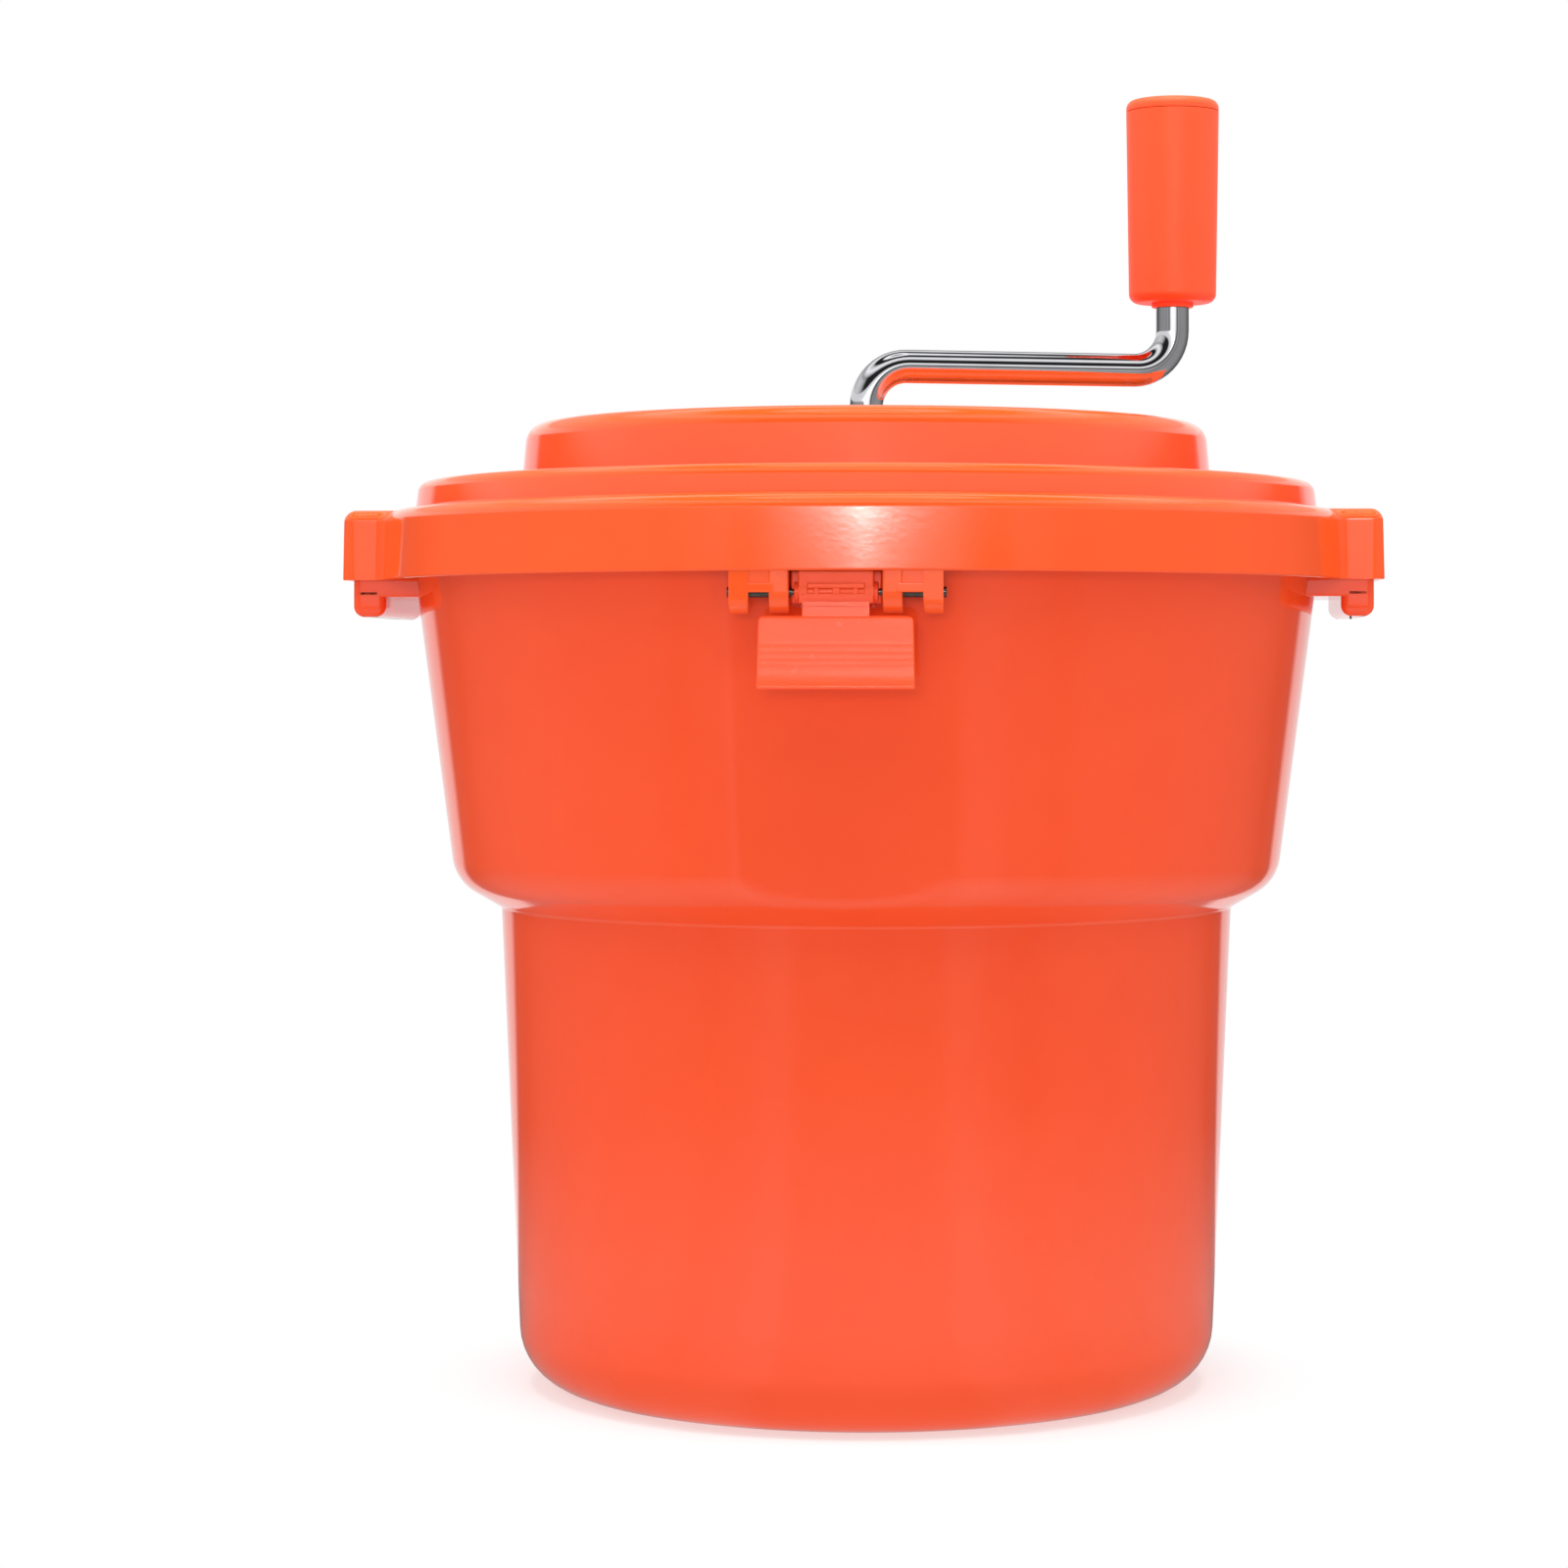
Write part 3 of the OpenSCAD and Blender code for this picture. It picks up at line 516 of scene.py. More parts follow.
ORANGE = orange_plastic("orange_gloss")
# The lid's orange is a lighter, yellower copy of the tub's: painted light for the more brightly lit lid
LID_ORANGE_PAINTED_LIGHT = orange_plastic("orange_lid_painted_light", yellow=0.011)
SATIN = orange_plastic("orange_satin", rough=0.24, peel=0.09, shine=0.38)
GRIP_ORANGE = orange_plastic("orange_grip", rough=0.42, peel=0.12, yellow=0.004)
CHROME = chromed_steel("chrome")
STEEL = stainless("stainless_steel")
# The latch pins' steel is painted nearly black: painted shade for the pins deep in the bracket windows
PIN_STEEL_PAINTED_SHADE = stainless("pin_steel_painted_shade", (0.06, 0.06, 0.055), (0.12, 0.115, 0.1))
BRONZE = bronze("sintered_bronze")
WHITE = pale_plastic("white_basket", (0.82, 0.81, 0.77), (0.78, 0.77, 0.72), 0.28)
NYLON = pale_plastic("natural_nylon", (0.74, 0.71, 0.62), (0.66, 0.63, 0.53), 0.34, 0.4)
FINISH = {"orange_plastic": ORANGE, "white_plastic": WHITE, "nylon": NYLON, "stainless": STEEL,
          "chromed_steel": CHROME, "bronze": BRONZE}


# ---------- tub ----------


def soft_min(a, b, soft):
    """The smaller of a and b, with a rounded change-over."""
    overlap = max(soft - abs(a - b), 0) / soft
    return min(a, b) - overlap * overlap * soft / 4


def panelled(first_inside):
    """Limits the tub's radius to both latch panels; section points from first_inside on are inside it."""

    def shape(k, r, z, angle):
        across = abs(math.sin(angle))
        if across < PANEL_SINE or z < PANEL_LOW or r < FOOT_R:
            return r
        inset = PANEL_CUT + (TUB_WALL if k >= first_inside else 0)
        plane = SHOULDER_R - inset + (z - SHOULDER_Z) * WALL_SLOPE
        if k < first_inside and r > MOUTH_R + 1:
            outermost = z > HANDLE_TOP + 1 or r > FLANGE_R - 1
            plane += FLANGE_OUT if outermost else -FLANGE_IN
        return soft_min(r, plane / across, PANEL_SOFT)

    return shape


def panel_columns():
    """Angles round the tub in even steps, and in finer ones at the side edges of both panels."""
    start, end = PANEL_EDGES
    even = [k * COLUMN_STEP for k in range(-90 // COLUMN_STEP, 90 // COLUMN_STEP + 1)]
    offsets = [value for value in even if abs(value) < start or abs(value) > end]
    for s in (-1, 1):
        offsets += [s * (start + EDGE_STEP * k) for k in range(round((end - start) / EDGE_STEP) + 1)]
    offsets = sorted(set(round(value, 3) for value in offsets))
    return [math.radians(base + value) for base in (90, 270) for value in offsets if value > -90]


def tub_section():
    """The tub's half section: up the outside, round the flange's turned-down edge and down the inside."""
    wall_end = SHOULDER_R + (HANDLE_TOP - SHOULDER_Z) * WALL_SLOPE
    edge_in = FLANGE_R - FLANGE_EDGE_T
    edge_z = RIM_Z - FLANGE_DROP
    return rounded([
        (POST_R, BASE_RECESS, 0), (FOOT_R, BASE_RECESS, 2), (FOOT_R + 2, 0, 1), (BASE_R, 0, BASE_ROUND),
        (WAIST_R, WAIST_Z, 2), (SHOULDER_R, SHOULDER_Z, SHOULDER_ROUND), (wall_end, HANDLE_TOP, 1.5),
        (edge_in, HANDLE_TOP, 1), (edge_in, edge_z, 0.8), (FLANGE_R, edge_z, 0.8), (FLANGE_R, RIM_Z, 2),
        (MOUTH_R - TUB_WALL, RIM_Z, 1),
        (SHOULDER_R - TUB_WALL, SHOULDER_Z + 1, SHOULDER_ROUND - TUB_WALL),
        (WAIST_R - TUB_WALL, WAIST_Z + 1, 4), (BASE_R - TUB_WALL, TUB_WALL, BASE_ROUND - TUB_WALL),
        (FOOT_R + RAMP_OUT, TUB_WALL, 3), (FOOT_R + RAMP_IN, FLOOR_Z, 3), (BOSS_R, FLOOR_Z, 3),
        (BOSS_TOP_R, BOSS_TOP, 2), (POST_R, BOSS_TOP, 0.5)
    ], 9)


def tub():
    """The tub in one piece, with a handle on each side and a catch rib on each latch panel."""
    mesh = bmesh.new()
    section = tub_section()
    first_inside = next(k for k, (r, z) in enumerate(section) if z > RIM_Z - 0.1 and r < MOUTH_R)
    lathe(mesh, section, panel_columns(), shape=panelled(first_inside))
    for s in (1, -1):
        handle(mesh, s)
    for s in (1, -1):
        y0, y1 = sorted((s * CATCH_Y, s * (CATCH_Y + CATCH_DEPTH)))
        block(mesh, -CATCH_HALF, CATCH_HALF, y0, y1, CATCH_Z, CATCH_Z + CATCH_H, 0.4, 0.4)
    return make("tub_skin", mesh, ORANGE, "tub", ["outer_tub"])


def handle_plan(inset, z, side):
    """The outline of a handle's channel, closed along the tub's wall."""
    wall = SHOULDER_R + (z - SHOULDER_Z) * WALL_SLOPE - TUB_WALL / 2
    half = HANDLE_HALF - inset
    reach = HANDLE_REACH - inset
    corner = max(HANDLE_ROUND - inset, 0.4)
    points = []
    for k in range(5):
        angle = math.pi / 2 * (k / 4 - 1)
        x = reach - corner + corner * math.cos(angle)
        points.append((x, -half + corner + corner * math.sin(angle)))
    points += [(x, -y) for x, y in reversed(points)]
    spread = math.asin(half / wall)
    for k in range(13):
        angle = spread - 2 * spread * k / 12
        points.append((wall * math.cos(angle), wall * math.sin(angle)))
    return [(side * x, side * y, z) for x, y in points]


def handle(mesh, side):
    """A channel under the lid's ear, with a thick lip along its outer edge for the fingers."""
    edge, bevel = 1.0, 0.6
    levels = [(edge * (1 - math.sin(k * math.pi / 8)), SHELF_Z + edge * (1 - math.cos(k * math.pi / 8)))
              for k in range(5)]
    levels += [(0, HANDLE_TOP - bevel), (bevel / 3, HANDLE_TOP - bevel / 3), (bevel, HANDLE_TOP)]
    levels += [(TUB_WALL - bevel, HANDLE_TOP), (TUB_WALL, HANDLE_TOP - bevel)]
    levels += [(TUB_WALL, SHELF_Z + TUB_WALL)]
    skin(mesh, [handle_plan(inset, z, side) for inset, z in levels])
    outline = box_outline(HANDLE_REACH - LIP_T, HANDLE_REACH, -HANDLE_HALF, HANDLE_HALF, HANDLE_ROUND)
    rings = []
    for k in range(9):
        angle = k * math.pi / 16
        inset = LIP_ROUND * (1 - math.sin(angle))
        rings.append([(side * x, side * y, LIP_Z + LIP_ROUND * (1 - math.cos(angle)))
                      for x, y in shrunk(outline, inset)])
    rings.append([(side * x, side * y, SHELF_Z + 2) for x, y in outline])
    skin(mesh, rings)


# ---------- lid ----------


def lid_outline(inset):
    """The plan of the skirt and both ears, inset from the skirt's bottom edge, counter-clockwise."""
    ring = LID_R - inset
    half = EAR_HALF - max(inset - (LID_R - LEDGE_R), 0)
    reach = EAR_REACH - inset + (LID_R - LEDGE_R - EAR_LEAN) * min(inset / (LID_R - LEDGE_R), 1)
    corner = max(EAR_ROUND - inset, 0.5)
    blend = EAR_BLEND + inset
    centre = Vector((math.sqrt((ring + blend) ** 2 - (half + blend) ** 2), half + blend))
    touch = math.atan2(centre.y, centre.x)
    quarter = [(reach, half - corner - (half - corner) * (1 - k / 6)) for k in range(6)]
    for k in range(7):
        angle = math.pi / 2 * k / 6
        x = reach - corner + corner * math.cos(angle)
        quarter.append((x, half - corner + corner * math.sin(angle)))
    for k in range(9):
        angle = -math.pi / 2 - (math.pi / 2 - touch) * k / 8
        quarter.append((centre.x + blend * math.cos(angle), centre.y + blend * math.sin(angle)))
    steps = 36
    for k in range(1, steps + 1):
        angle = touch + (math.pi / 2 - touch) * k / steps
        quarter.append((ring * math.cos(angle), ring * math.sin(angle)))
    half_turn = quarter + [(-x, y) for x, y in reversed(quarter[:-1])]
    return half_turn + [(-x, -y) for x, y in half_turn[1:-1]]


def lid_section():
    """The lid's half section: up over the tiers to the hub, and back down under them."""
    recess_z = TOP_Z - RECESS_T
    hub_z = recess_z + HUB_H
    under_z = RIM_Z + RIM_GAP
    return rounded([
        (LID_R, SKIRT_Z, 0.8), (LEDGE_R, LEDGE_Z, LEDGE_ROUND), (MID_BASE_R, LEDGE_Z, 1.5),
        (MID_TOP_R, MID_Z, MID_ROUND), (TOP_BASE_R, MID_Z, 2), (TOP_EDGE_R, TOP_Z, TOP_ROUND),
        (RECESS_R + 2, TOP_Z, 1), (RECESS_R, recess_z, 1), (HUB_R, recess_z, 2),
        (HUB_R - HUB_STEP, hub_z, 1.5), (BUSH_R, hub_z, 0.3),
        (BUSH_R, ROOF_Z, 0), (TOP_EDGE_R - LID_WALL, ROOF_Z, TOP_ROUND - LID_WALL),
        (TOP_BASE_R - LID_WALL, MID_Z - LID_WALL, 1), (MID_TOP_R - LID_WALL, MID_Z - LID_WALL, 3),
        (MID_BASE_R - LID_WALL, under_z, 1), (LEDGE_R - LID_WALL, under_z, LEDGE_ROUND - LID_WALL),
        (LID_R - LID_WALL, SKIRT_Z, 0.8)
    ], 9)


def lid():
    """The lid: its section follows the plan with the ears at the skirt, and is round further in."""
    mesh = bmesh.new()
    section = lid_section()
    outlines = {}
    split = (LEDGE_R - LID_WALL + MID_BASE_R) / 2
    bearings = [math.atan2(y, x) for x, y in lid_outline(0)]
    rings = []
    for k, angle in enumerate(bearings):
        ring = []
        for r, z in section:
            if r > split:
                inset = round(LID_R - r, 4)
                if inset not in outlines:
                    outlines[inset] = lid_outline(inset)
                x, y = outlines[inset][k]
            else:
                x, y = r * math.cos(angle), r * math.sin(angle)
            ring.append((x, y, z))
        rings.append(ring)
    skin(mesh, rings, wrap=True)
    spigot(mesh)
    for k in range(PLATE_SCREWS):
        angle = 2 * math.pi * (k + 0.5) / PLATE_SCREWS
        centre = (PLATE_SCREW_R * math.cos(angle), PLATE_SCREW_R * math.sin(angle))
        tube_wall(mesh, SCREW_BOSS_R, SCREW_HOLE_R, MID_Z - LID_WALL, ROOF_Z + 1, centre)
    for side in (1, -1):
        for hand in (1, -1):
            bracket(mesh, side, hand)
    # The lid wears the lighter copy of the orange, painted light for its brightly lit tiers
    return make("lid_skin", mesh, LID_ORANGE_PAINTED_LIGHT, "lid", ["lid_shell"])


def tube_wall(mesh, outer, inner, z0, z1, centre):
    """An upright tube."""
    lathe(mesh, [(inner, z0), (outer, z0), (outer, z1), (inner, z1)], 32, centre)


def spigot(mesh):
    """The ring under the lid that centres it in the tub, in two parts that stop at the panels."""
    stop = math.acos(SPIGOT_GAP / SPIGOT_R)
    steps = 48
    inner = SPIGOT_R - SPIGOT_T
    section = rounded([(inner, SPIGOT_Z, 0.8), (SPIGOT_R, SPIGOT_Z, 0.8), (SPIGOT_R, SPIGOT_TOP, 0),
                       (inner, SPIGOT_TOP, 0)])
    for start in (0, math.pi):
        rings = []
        for k in range(steps + 1):
            angle = start - stop + 2 * stop * k / steps
            rings.append([(r * math.cos(angle), r * math.sin(angle), z) for r, z in section])
        skin(mesh, rings)


def bracket(mesh, side, hand):
    """A hinge bracket under the skirt: two legs that hold the pin, and a bridge and a hood between them.

    side is 1 at the front and -1 at the rear; hand is 1 or -1 for the two brackets of a latch."""
    front, back, top = PIN_Y - BRACKET_NOSE, BRACKET_BACK, SKIRT_Z + 1
    nose = [(PIN_Y + BRACKET_NOSE * math.cos(a), PIN_Z + BRACKET_NOSE * math.sin(a))
            for a in (math.pi + math.radians(10 * k) for k in range(1, 12))]
    leg = [(front, top), (front, PIN_Z)] + nose
    leg += [(back, PIN_Z - math.sqrt(BRACKET_NOSE ** 2 - (back - PIN_Y) ** 2)), (back, top)]
    bridge = [(front + 0.1, top), (front + 0.1, WINDOW_TOP), (back, WINDOW_TOP), (back, top)]
    hood_top = WINDOW_TOP + HOOD_H
    hood = rounded([(front - HOOD_OUT, hood_top, 0.6), (front - HOOD_OUT, WINDOW_TOP, 0.6),
                    (back, WINDOW_TOP, 0), (back, hood_top, 0)], 30)
    start, end = BRACKET_IN, BRACKET_IN + BRACKET_W
    spans = [(leg, start, start + BRACKET_LEG, 0.8), (leg, end - BRACKET_LEG, end, 0.8),
             (bridge, start + 1, end - 1, 0.2), (hood, start + HOOD_IN, end - HOOD_IN, 0.6)]
    for outline, x0, x1, edge in spans:
        first = len(mesh.verts)
        plate(mesh, outline, x0, x1, edge, ALONG_X)
        mesh.verts.ensure_lookup_table()
        for vertex in list(mesh.verts)[first:]:
            limit = math.sqrt((LID_R - 0.6) ** 2 - (vertex.co.x / MM) ** 2) * MM
            vertex.co.y = max(vertex.co.y, -limit)
            vertex.co.x *= hand
            if side < 0:
                vertex.co.xy = -vertex.co.xy


# ---------- latches ----------


def flap_rings():
    """The flap, as rings round its thickness at each height: it hangs down and leans out."""
    tilt = Matrix.Translation((0, FLAP_Y, FLAP_TOP)) @ Matrix.Rotation(math.radians(-FLAP_TILT), 4, "X")
    half_t = FLAP_T / 2
    rings = []
    rows = 54
    for k in range(rows + 1):
        drop = FLAP_H * k / rows
        half = FLAP_HALF + FLAP_FLARE * drop / FLAP_H
        if drop < FLAP_CORNER:
            half -= FLAP_CORNER - math.sqrt(FLAP_CORNER ** 2 - (FLAP_CORNER - drop) ** 2)
        end = min(drop, FLAP_H - drop)
        thin = half_t * math.sqrt(1 - (1 - end / EDGE_ROUND) ** 2) if end < EDGE_ROUND else half_t
        thin = max(thin, half_t * 0.4)
        rib = 0
        if RIB_SPAN[0] < drop < RIB_SPAN[1]:
            rib = RIB_DEPTH * max(0, math.cos((drop - RIB_TOP) / RIB_PITCH * math.pi * 2))
        curl = FLAP_CURL * max(0, (drop - CURL_TOP) / (FLAP_H - CURL_TOP)) ** 2
        outline = rounded([(-half, -thin - rib, 0.5), (half, -thin - rib, 0.5), (half, thin, 0.5),
                           (-half, thin, 0.5)], 30)
        rings.append([tilt @ Vector((x, y - curl, -drop)) for x, y in outline])
    return rings


def slotted_face(mesh):
    """The front of the barrel: a row of four small slots under a raised bar."""
    bottom, slot_top = PIN_Z - BARREL_R, SLOT_Z + SLOT_H
    block(mesh, -FACE_HALF, FACE_HALF, FACE_Y + SLOT_DEPTH, FACE_BACK, bottom, FACE_TOP)
    block(mesh, -BACKING_HALF, BACKING_HALF, BACKING_Y, FACE_BACK, bottom, FACE_TOP)
    block(mesh, -FACE_HALF, FACE_HALF, FACE_Y, PIN_Y, bottom, SLOT_Z, 0.3)
    block(mesh, -FACE_HALF, FACE_HALF, FACE_Y, PIN_Y, slot_top, FACE_TOP, 0.3)
    block(mesh, -BAR_HALF, BAR_HALF, FACE_Y - BAR_T, PIN_Y, slot_top, slot_top + BAR_H, 0.3)
    for x0, x1 in SLOT_BARS:
        block(mesh, x0, x1, FACE_Y, PIN_Y, SLOT_Z - 0.5, slot_top + 0.5, 0.1, 0.25)


def latch(name, body, node, spin):
    """A drop latch: the knuckle on its pin, a short neck, the flap, and three hooks behind it."""
    mesh = bmesh.new()
    barrel = [(PIN_Y + BARREL_R * math.cos(a * math.pi / 18), PIN_Z + BARREL_R * math.sin(a * math.pi / 18))
              for a in range(36)]
    plate(mesh, barrel, -BARREL_HALF, BARREL_HALF, 0.5, ALONG_X)
    slotted_face(mesh)
    block(mesh, -NECK_HALF, NECK_HALF, NECK_Y + 0.6, PIN_Y - 1.5, FLAP_TOP - 2, NECK_TOP - 0.2, 0.3)
    for z0, z1 in ((FLAP_TOP - 0.5, NECK_TOP - GROOVE_BOTTOM), (NECK_TOP - GROOVE_TOP, NECK_TOP)):
        lean = (z1 - z0) * math.tan(NECK_LEAN)
        ridge = [(NECK_Y + lean, z1), (NECK_Y, z0), (NECK_Y + 2, z0), (NECK_Y + 2, z1)]
        plate(mesh, ridge, -NECK_HALF, NECK_HALF, 0.25, ALONG_X)
    for k in (-1, 0, 1):
        x = k * HOOK_PITCH
        block(mesh, x - HOOK_W / 2, x + HOOK_W / 2, PIN_Y - 2, HOOK_TIP, FLAP_TOP - 0.6, HOOK_TOP, 0.3)
    skin(mesh, flap_rings())
    return make(name, mesh, SATIN, body, [node], spin)


# ---------- crank ----------


def crank():
    """The bent rod, swept along its middle line in XZ, and the spindle that the grip turns on."""
    mesh = bmesh.new()
    steps, sides = 12, 64
    path = [((0, ROD_BOTTOM), (0, 1)), ((0, ARM_Z - BEND_R), (0, 1))]
    for k in range(1, steps + 1):
        angle = math.pi / 2 * k / steps
        path.append(((BEND_R * (1 - math.cos(angle)), ARM_Z - BEND_R * (1 - math.sin(angle))),
                     (math.sin(angle), math.cos(angle))))
    for k in range(steps + 1):
        angle = math.pi / 2 * k / steps
        path.append(((CRANK_ARM - BEND_R * (1 - math.sin(angle)), ARM_Z + BEND_R * (1 - math.cos(angle))),
                     (math.cos(angle), math.sin(angle))))
    collar_z = GRIP_BOTTOM - COLLAR_H
    path.append(((CRANK_ARM, collar_z - SEAM), (0, 1)))
    rings = []
    for (x, z), (dx, dz) in path:
        rings.append([(x + ROD_R * math.cos(a) * dz, ROD_R * math.sin(a), z - ROD_R * math.cos(a) * dx)
                      for a in (2 * math.pi * k / sides for k in range(sides))])
    skin(mesh, rings)
    lathe(mesh, rounded([(0, collar_z - 2, 0), (SPINDLE_R, collar_z - 2, 0), (SPINDLE_R, SPINDLE_TOP, 0.8),
                         (0, SPINDLE_TOP, 0)]), 48, (CRANK_ARM, 0))
    return make("crank_tube", mesh, CHROME, "crank", ["crank_rod"], CRANK_REST)


def grip_piece(name, section, columns, node):
    """One turned piece of the grip, round the crank's spindle."""
    mesh = bmesh.new()
    lathe(mesh, rounded(section, 9), columns, (CRANK_ARM, 0))
    make(name, mesh, GRIP_ORANGE, "grip", [node], CRANK_REST)


def grip_sleeve():
    seam_z = GRIP_TOP - CAP_H - SEAM
    floor_z = GRIP_BOTTOM + GRIP_FLOOR
    grip_piece("grip_skin", [
        (GRIP_BUSH_R, GRIP_BOTTOM, 0), (GRIP_LOW_R, GRIP_BOTTOM, 4), (GRIP_R, seam_z, 0.3),
        (GRIP_R - GRIP_WALL, seam_z, 0.2), (GRIP_LOW_R - GRIP_WALL, floor_z, 2), (GRIP_BUSH_R, floor_z, 0)
    ], 96, "grip_sleeve")


def grip_cap():
    """The cap and the hollow plug under it."""
    plug_r = GRIP_R - GRIP_WALL - PLUG_GAP
    hollow_r = plug_r - GRIP_WALL
    cap_z = GRIP_TOP - CAP_H
    plug_z, hollow_z = cap_z - PLUG_H, cap_z + 2
    grip_piece("grip_end_cap", [
        (0, GRIP_TOP, 0), (0, hollow_z, 0), (hollow_r, hollow_z, 0), (hollow_r, plug_z, 0),
        (plug_r, plug_z, 0), (plug_r, cap_z, 0), (GRIP_R, cap_z, 0.3), (GRIP_R, GRIP_TOP, 3.5)
    ], 96, "grip_cap")


def grip_collar():
    """The bush inside the grip, whose collar shows under it."""
    bore_r = SPINDLE_R + SPINDLE_GAP
    collar_z = GRIP_BOTTOM - COLLAR_H
    bush_top = SPINDLE_TOP - CLIP_ROOM
    grip_piece("grip_collar", [
        (bore_r, collar_z, 0), (COLLAR_R, collar_z, 0.6), (COLLAR_R, GRIP_BOTTOM, 0),
        (GRIP_BUSH_R, GRIP_BOTTOM, 0), (GRIP_BUSH_R, bush_top, 0.3), (bore_r, bush_top, 0.3)
    ], 64, "grip_bush")


# ---------- the rest of the model ----------


def finish_of(node):
    """The material slot that the record gives a node."""
    for part in frame["record"]["subparts"]:
        if part["node"] == node:
            return part["material_slot"]
    return None


def dress_packed():
    """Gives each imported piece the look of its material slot."""
    for node, item in frame["nodes"].items():
        # Latch pins get the near-black steel, painted shade for the recess that they sit in
        material = PIN_STEEL_PAINTED_SHADE if node.endswith("latch_pin") else FINISH.get(finish_of(node))
        if material and item.type == "MESH":
            for holder in item.material_slots:
                holder.link = "OBJECT"
                holder.material = material


# ---------- stage ----------


class Tree:
    """Short ways to add and join the nodes of a world or of the floor."""

    def __init__(self, tree):
        self.tree = tree
        tree.nodes.clear()

    def node(self, kind, *values, **settings):
        """Adds a node, sets its properties, and fills its first inputs with numbers or links."""
        new = self.tree.nodes.new("ShaderNode" + kind)
        for key, value in settings.items():
            setattr(new, key, value)
        for socket, value in zip(new.inputs, values):
            if isinstance(value, bpy.types.NodeSocket):
                self.tree.links.new(value, socket)
            elif value is not None:
                socket.default_value = value
        return new

    def maths(self, operation, *values):
        """The result of one sum or function of numbers or links."""
        return self.node("Math", *values, operation=operation).outputs[0]

    def ramp(self, value, stops):
        """Grey levels along a value, from (position, level) pairs."""
        new = self.node("ValToRGB", value)
        elements = new.color_ramp.elements
        for k, (at, level) in enumerate(stops):
            element = elements[k] if k < 2 else elements.new(at)
            element.position = at
            element.color = (level, level, level, 1)
        return new.outputs["Color"]

    def studio_walls(self, direction):
        """The walls' brightness, with a white sheet behind between two dark gaps, and the bearing."""
        x, y = self.node("SeparateXYZ", direction).outputs[:2]
        angle = self.maths("ADD", self.maths("ARCTAN2", x, y), SHEET_SHIFT)
        bearing = self.maths("DIVIDE", self.maths("ABSOLUTE", angle), math.pi)
        return self.ramp(bearing, WALL_LEVELS), bearing

    def studio(self, direction):
        """Walls low down, soft light from the sides over them, and two bright strips overhead."""
        walls, bearing = self.studio_walls(direction)
        height = self.node("SeparateXYZ", direction).outputs["Z"]
        sides = self.maths("MULTIPLY", self.ramp(bearing, SIDE_LEVELS), self.ramp(height, SIDE_FADE))
        upper = self.maths("MAXIMUM", self.ramp(height, HEIGHT_LEVELS), sides)
        share = self.ramp(height, WALL_TOP)
        glow = self.maths("MULTIPLY", self.ramp(bearing, GLOW_LEVELS), self.ramp(height, GLOW_FADE))
        low_walls = self.maths("ADD", self.maths("MULTIPLY", walls, self.ramp(bearing, GAP_LEVELS)), glow)
        low_part = self.maths("MULTIPLY", low_walls, self.maths("SUBTRACT", 1.0, share))
        return self.maths("ADD", low_part, self.maths("MULTIPLY", upper, share))

    def soft_spot(self, direction):
        """The reflection of the front soft box: a bright middle that fades out along long soft tails."""
        x, y, z = self.node("SeparateXYZ", direction).outputs
        bearing = self.maths("ARCTAN2", x, self.maths("MULTIPLY", y, -1.0))
        across = self.maths("SUBTRACT", bearing, SPOT_BEARING)
        up = self.maths("SUBTRACT", self.maths("ARCSINE", z), SPOT_HEIGHT)
        total = 0.0
        for level, wide, high in SPOTS:
            fade = 0.0
            for offset, width in ((across, wide), (up, high)):
                steps = self.maths("POWER", self.maths("DIVIDE", offset, math.radians(width)), 2.0)
                fade = self.maths("ADD", self.maths("SQRT", self.maths("ADD", steps, SPOT_ROUND)), fade)
            glow = self.maths("EXPONENT", self.maths("MULTIPLY", fade, -1.0))
            total = self.maths("ADD", self.maths("MULTIPLY", glow, level), total)
        return total

    def by_ray(self, seen, mirrored, lighting):
        """One shader for what the camera sees, one for reflections, and one for the light it gives."""
        path = self.node("LightPath").outputs
        reflected = self.node("MixShader", path["Is Glossy Ray"], lighting, mirrored).outputs[0]
        return self.node("MixShader", path["Is Camera Ray"], reflected, seen).outputs[0]


def floor():
    """A white floor whose far part fades into the background."""
    mesh = bmesh.new()
    bmesh.ops.create_circle(mesh, cap_ends=True, segments=96, radius=FLOOR_R)
    data = bpy.data.meshes.new("floor")
    mesh.to_mesh(data)
    mesh.free()
    plane = bpy.data.objects.new("floor", data)
    bpy.context.scene.collection.objects.link(plane)
    material = bpy.data.materials.new("floor")
    material.use_nodes = True
    t = Tree(material.node_tree)
    place = t.node("TexCoord").outputs["Object"]
    reach = t.node("VectorMath", place, operation="LENGTH").outputs["Value"]
    lit = t.node("BsdfDiffuse", FLOOR_COLOUR).outputs[0]
    plain = t.node("Emission", PURE_WHITE, 1.0).outputs[0]
    seen = t.node("MixShader", t.ramp(reach, FLOOR_WHITE), lit, plain).outputs[0]
    walls, bearing = t.studio_walls(place)
    walls = t.maths("MULTIPLY", walls, t.ramp(bearing, PANEL_LEVELS))
    near = t.maths("MULTIPLY", t.ramp(reach, NEAR_LEVELS), t.ramp(bearing, NEAR_SIDES))
    shade = t.ramp(reach, SHADE_LEVELS)
    level = t.maths("MULTIPLY", t.maths("ADD", t.maths("MULTIPLY", walls, MIRRORED), near), shade)
    mirrored = t.node("Emission", PURE_WHITE, level).outputs[0]
    bounce = t.node("Emission", PURE_WHITE, FLOOR_LIGHT).outputs[0]
    t.node("OutputMaterial", t.by_ray(seen, mirrored, bounce))
    data.materials.append(material)


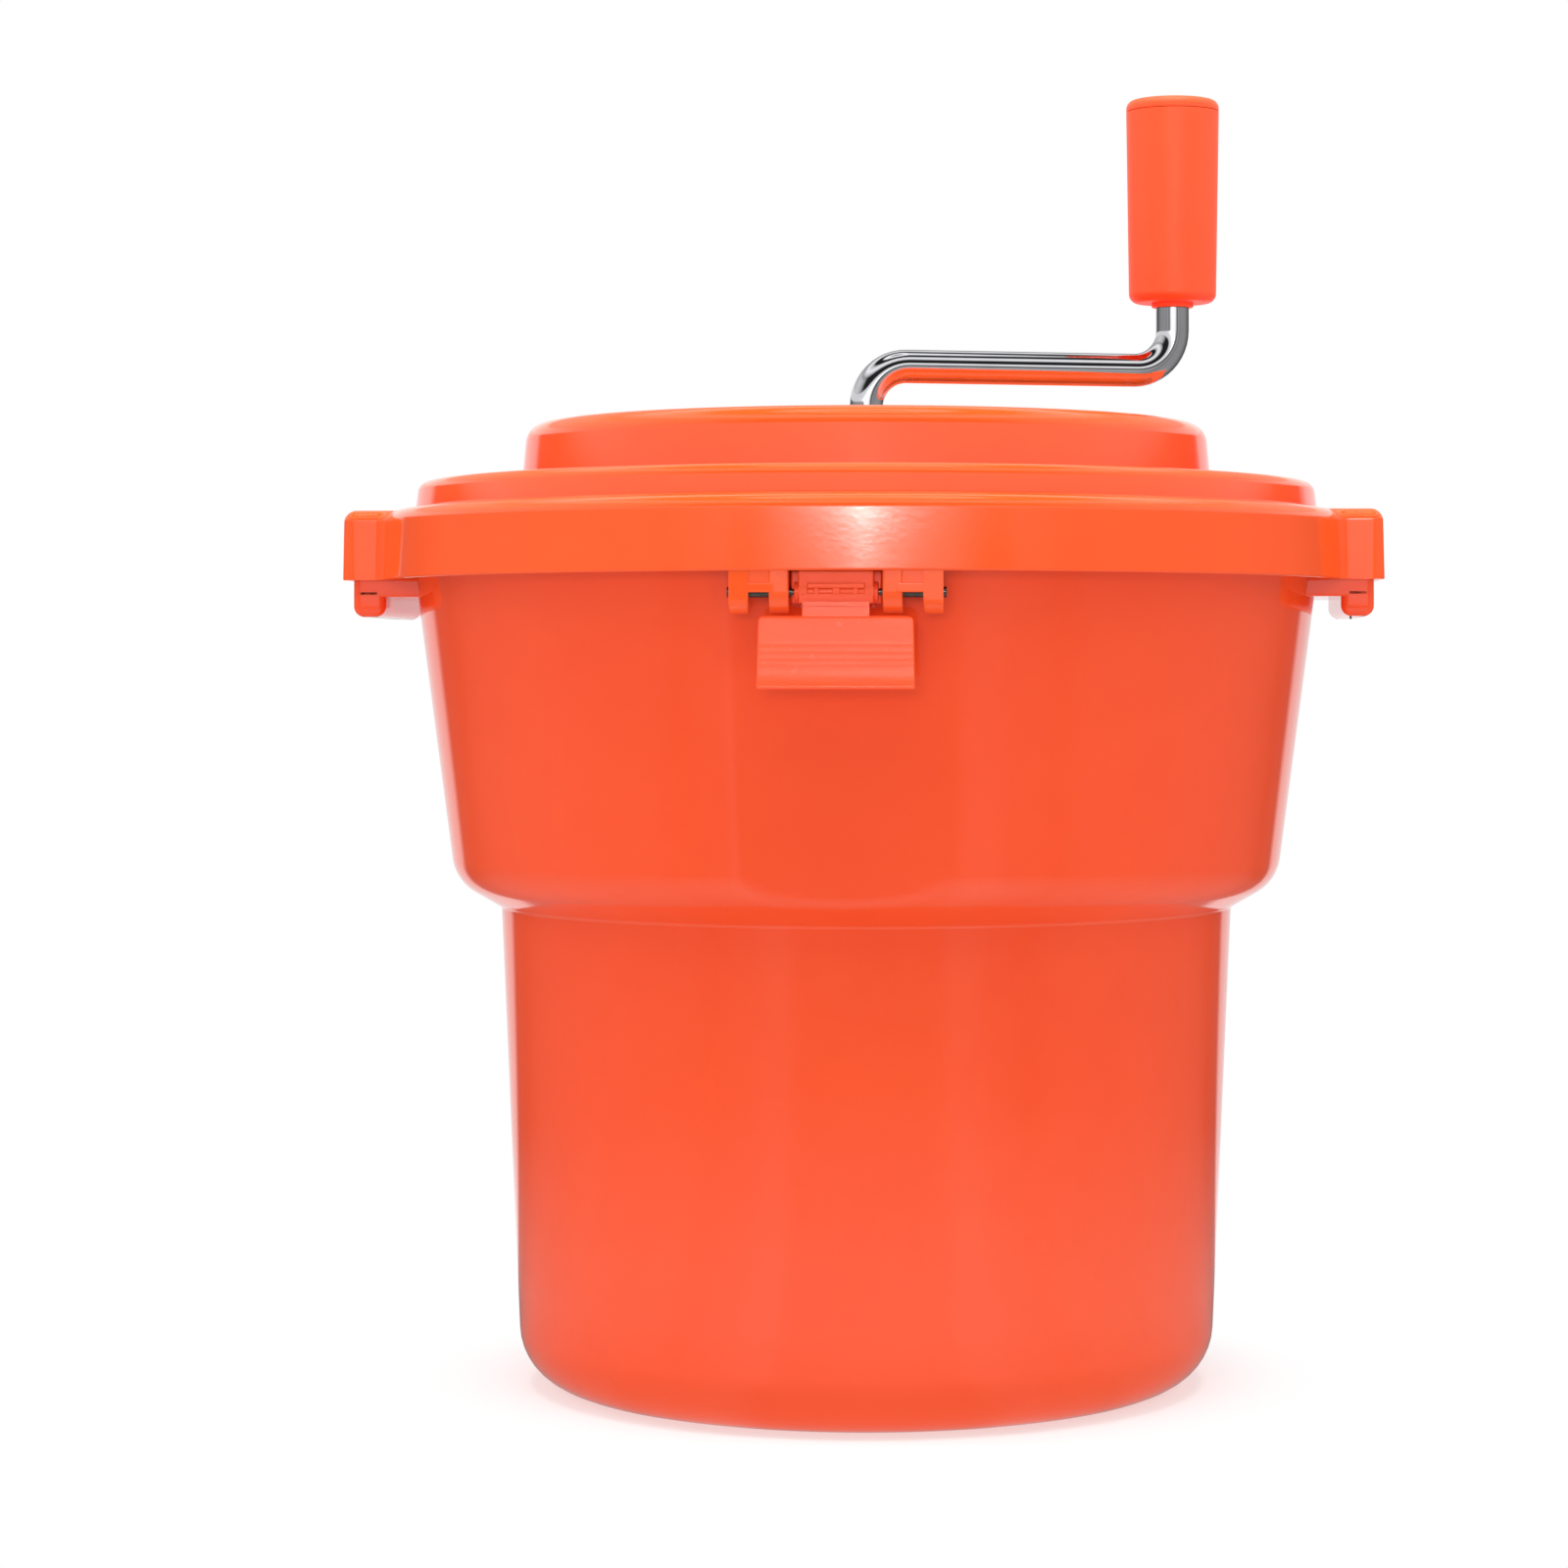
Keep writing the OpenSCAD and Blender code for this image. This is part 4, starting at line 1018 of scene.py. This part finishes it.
def world():
    """White all round for the camera, and a softly lit studio for light and reflections."""
    studio = bpy.data.worlds.new("studio")
    bpy.context.scene.world = studio
    studio.use_nodes = True
    t = Tree(studio.node_tree)
    direction = t.node("TexCoord").outputs["Generated"]
    level = t.maths("ADD", t.maths("MULTIPLY", t.studio(direction), MIRRORED), t.soft_spot(direction))
    mirrored = t.node("Background", PURE_WHITE, level).outputs[0]
    plain = t.node("Background", PURE_WHITE, 1.0).outputs[0]
    even = t.node("Background", PURE_WHITE, SOFT_LIGHT).outputs[0]
    t.node("OutputWorld", t.by_ray(plain, mirrored, even))


def soft_box(name, bearing, elevation, distance, width, height, level):
    """A soft box at a bearing in degrees to the right of the front latch; level is its brightness.

    It gives light but isn't seen, in reflections either, because the world draws what is mirrored."""
    light = bpy.data.lights.new(name, "AREA")
    light.shape = "RECTANGLE"
    light.size = width
    light.size_y = height
    light.energy = level * math.pi * width * height
    across, up = math.radians(bearing), math.radians(elevation)
    offset = Vector((math.sin(across) * math.cos(up), -math.cos(across) * math.cos(up), math.sin(up)))
    lamp = bpy.data.objects.new(name, light)
    lamp.location = LIGHT_AIM + offset * distance
    lamp.rotation_euler = offset.to_track_quat("Z", "Y").to_euler()
    lamp.visible_camera = False
    lamp.visible_glossy = False
    bpy.context.scene.collection.objects.link(lamp)


def lights():
    soft_box("front_box", bearing=-4, elevation=9.5, distance=3.0, width=0.9, height=0.5, level=9.5)
    soft_box("high_front", bearing=0, elevation=55, distance=2.4, width=1.8, height=1.0, level=1.5)
    soft_box("left_box", bearing=-85, elevation=35, distance=2.4, width=1.2, height=1.2, level=2.6)
    soft_box("right_box", bearing=85, elevation=35, distance=2.4, width=1.2, height=1.2, level=2.0)
    soft_box("top_box", bearing=0, elevation=85, distance=2.2, width=1.6, height=1.6, level=10.0)


def camera():
    """Level with the middle of the object and a little to its right, as a product shot is taken."""
    lens = bpy.data.cameras.new("camera")
    lens.lens = FOCAL_LENGTH
    lens.sensor_width = SENSOR_W
    lens.shift_x, lens.shift_y = CAMERA_SHIFT
    lens.clip_end = 100
    eye = bpy.data.objects.new("camera", lens)
    eye.location = (math.sin(CAMERA_BEARING) * CAMERA_DISTANCE, -math.cos(CAMERA_BEARING) * CAMERA_DISTANCE,
                    CAMERA_HEIGHT)
    eye.rotation_euler = (math.pi / 2, 0, CAMERA_BEARING)
    bpy.context.scene.collection.objects.link(eye)
    bpy.context.scene.camera = eye


camera()
tub()
lid()
latch("front_latch_skin", "latch_front", "front_latch", 0)
latch("rear_latch_skin", "latch_rear", "rear_latch", math.pi)
crank()
grip_sleeve()
grip_cap()
grip_collar()
dress_packed()
floor()
world()
lights()
scene = bpy.context.scene
scene.view_settings.view_transform = "Standard"
scene.view_settings.look = "None"
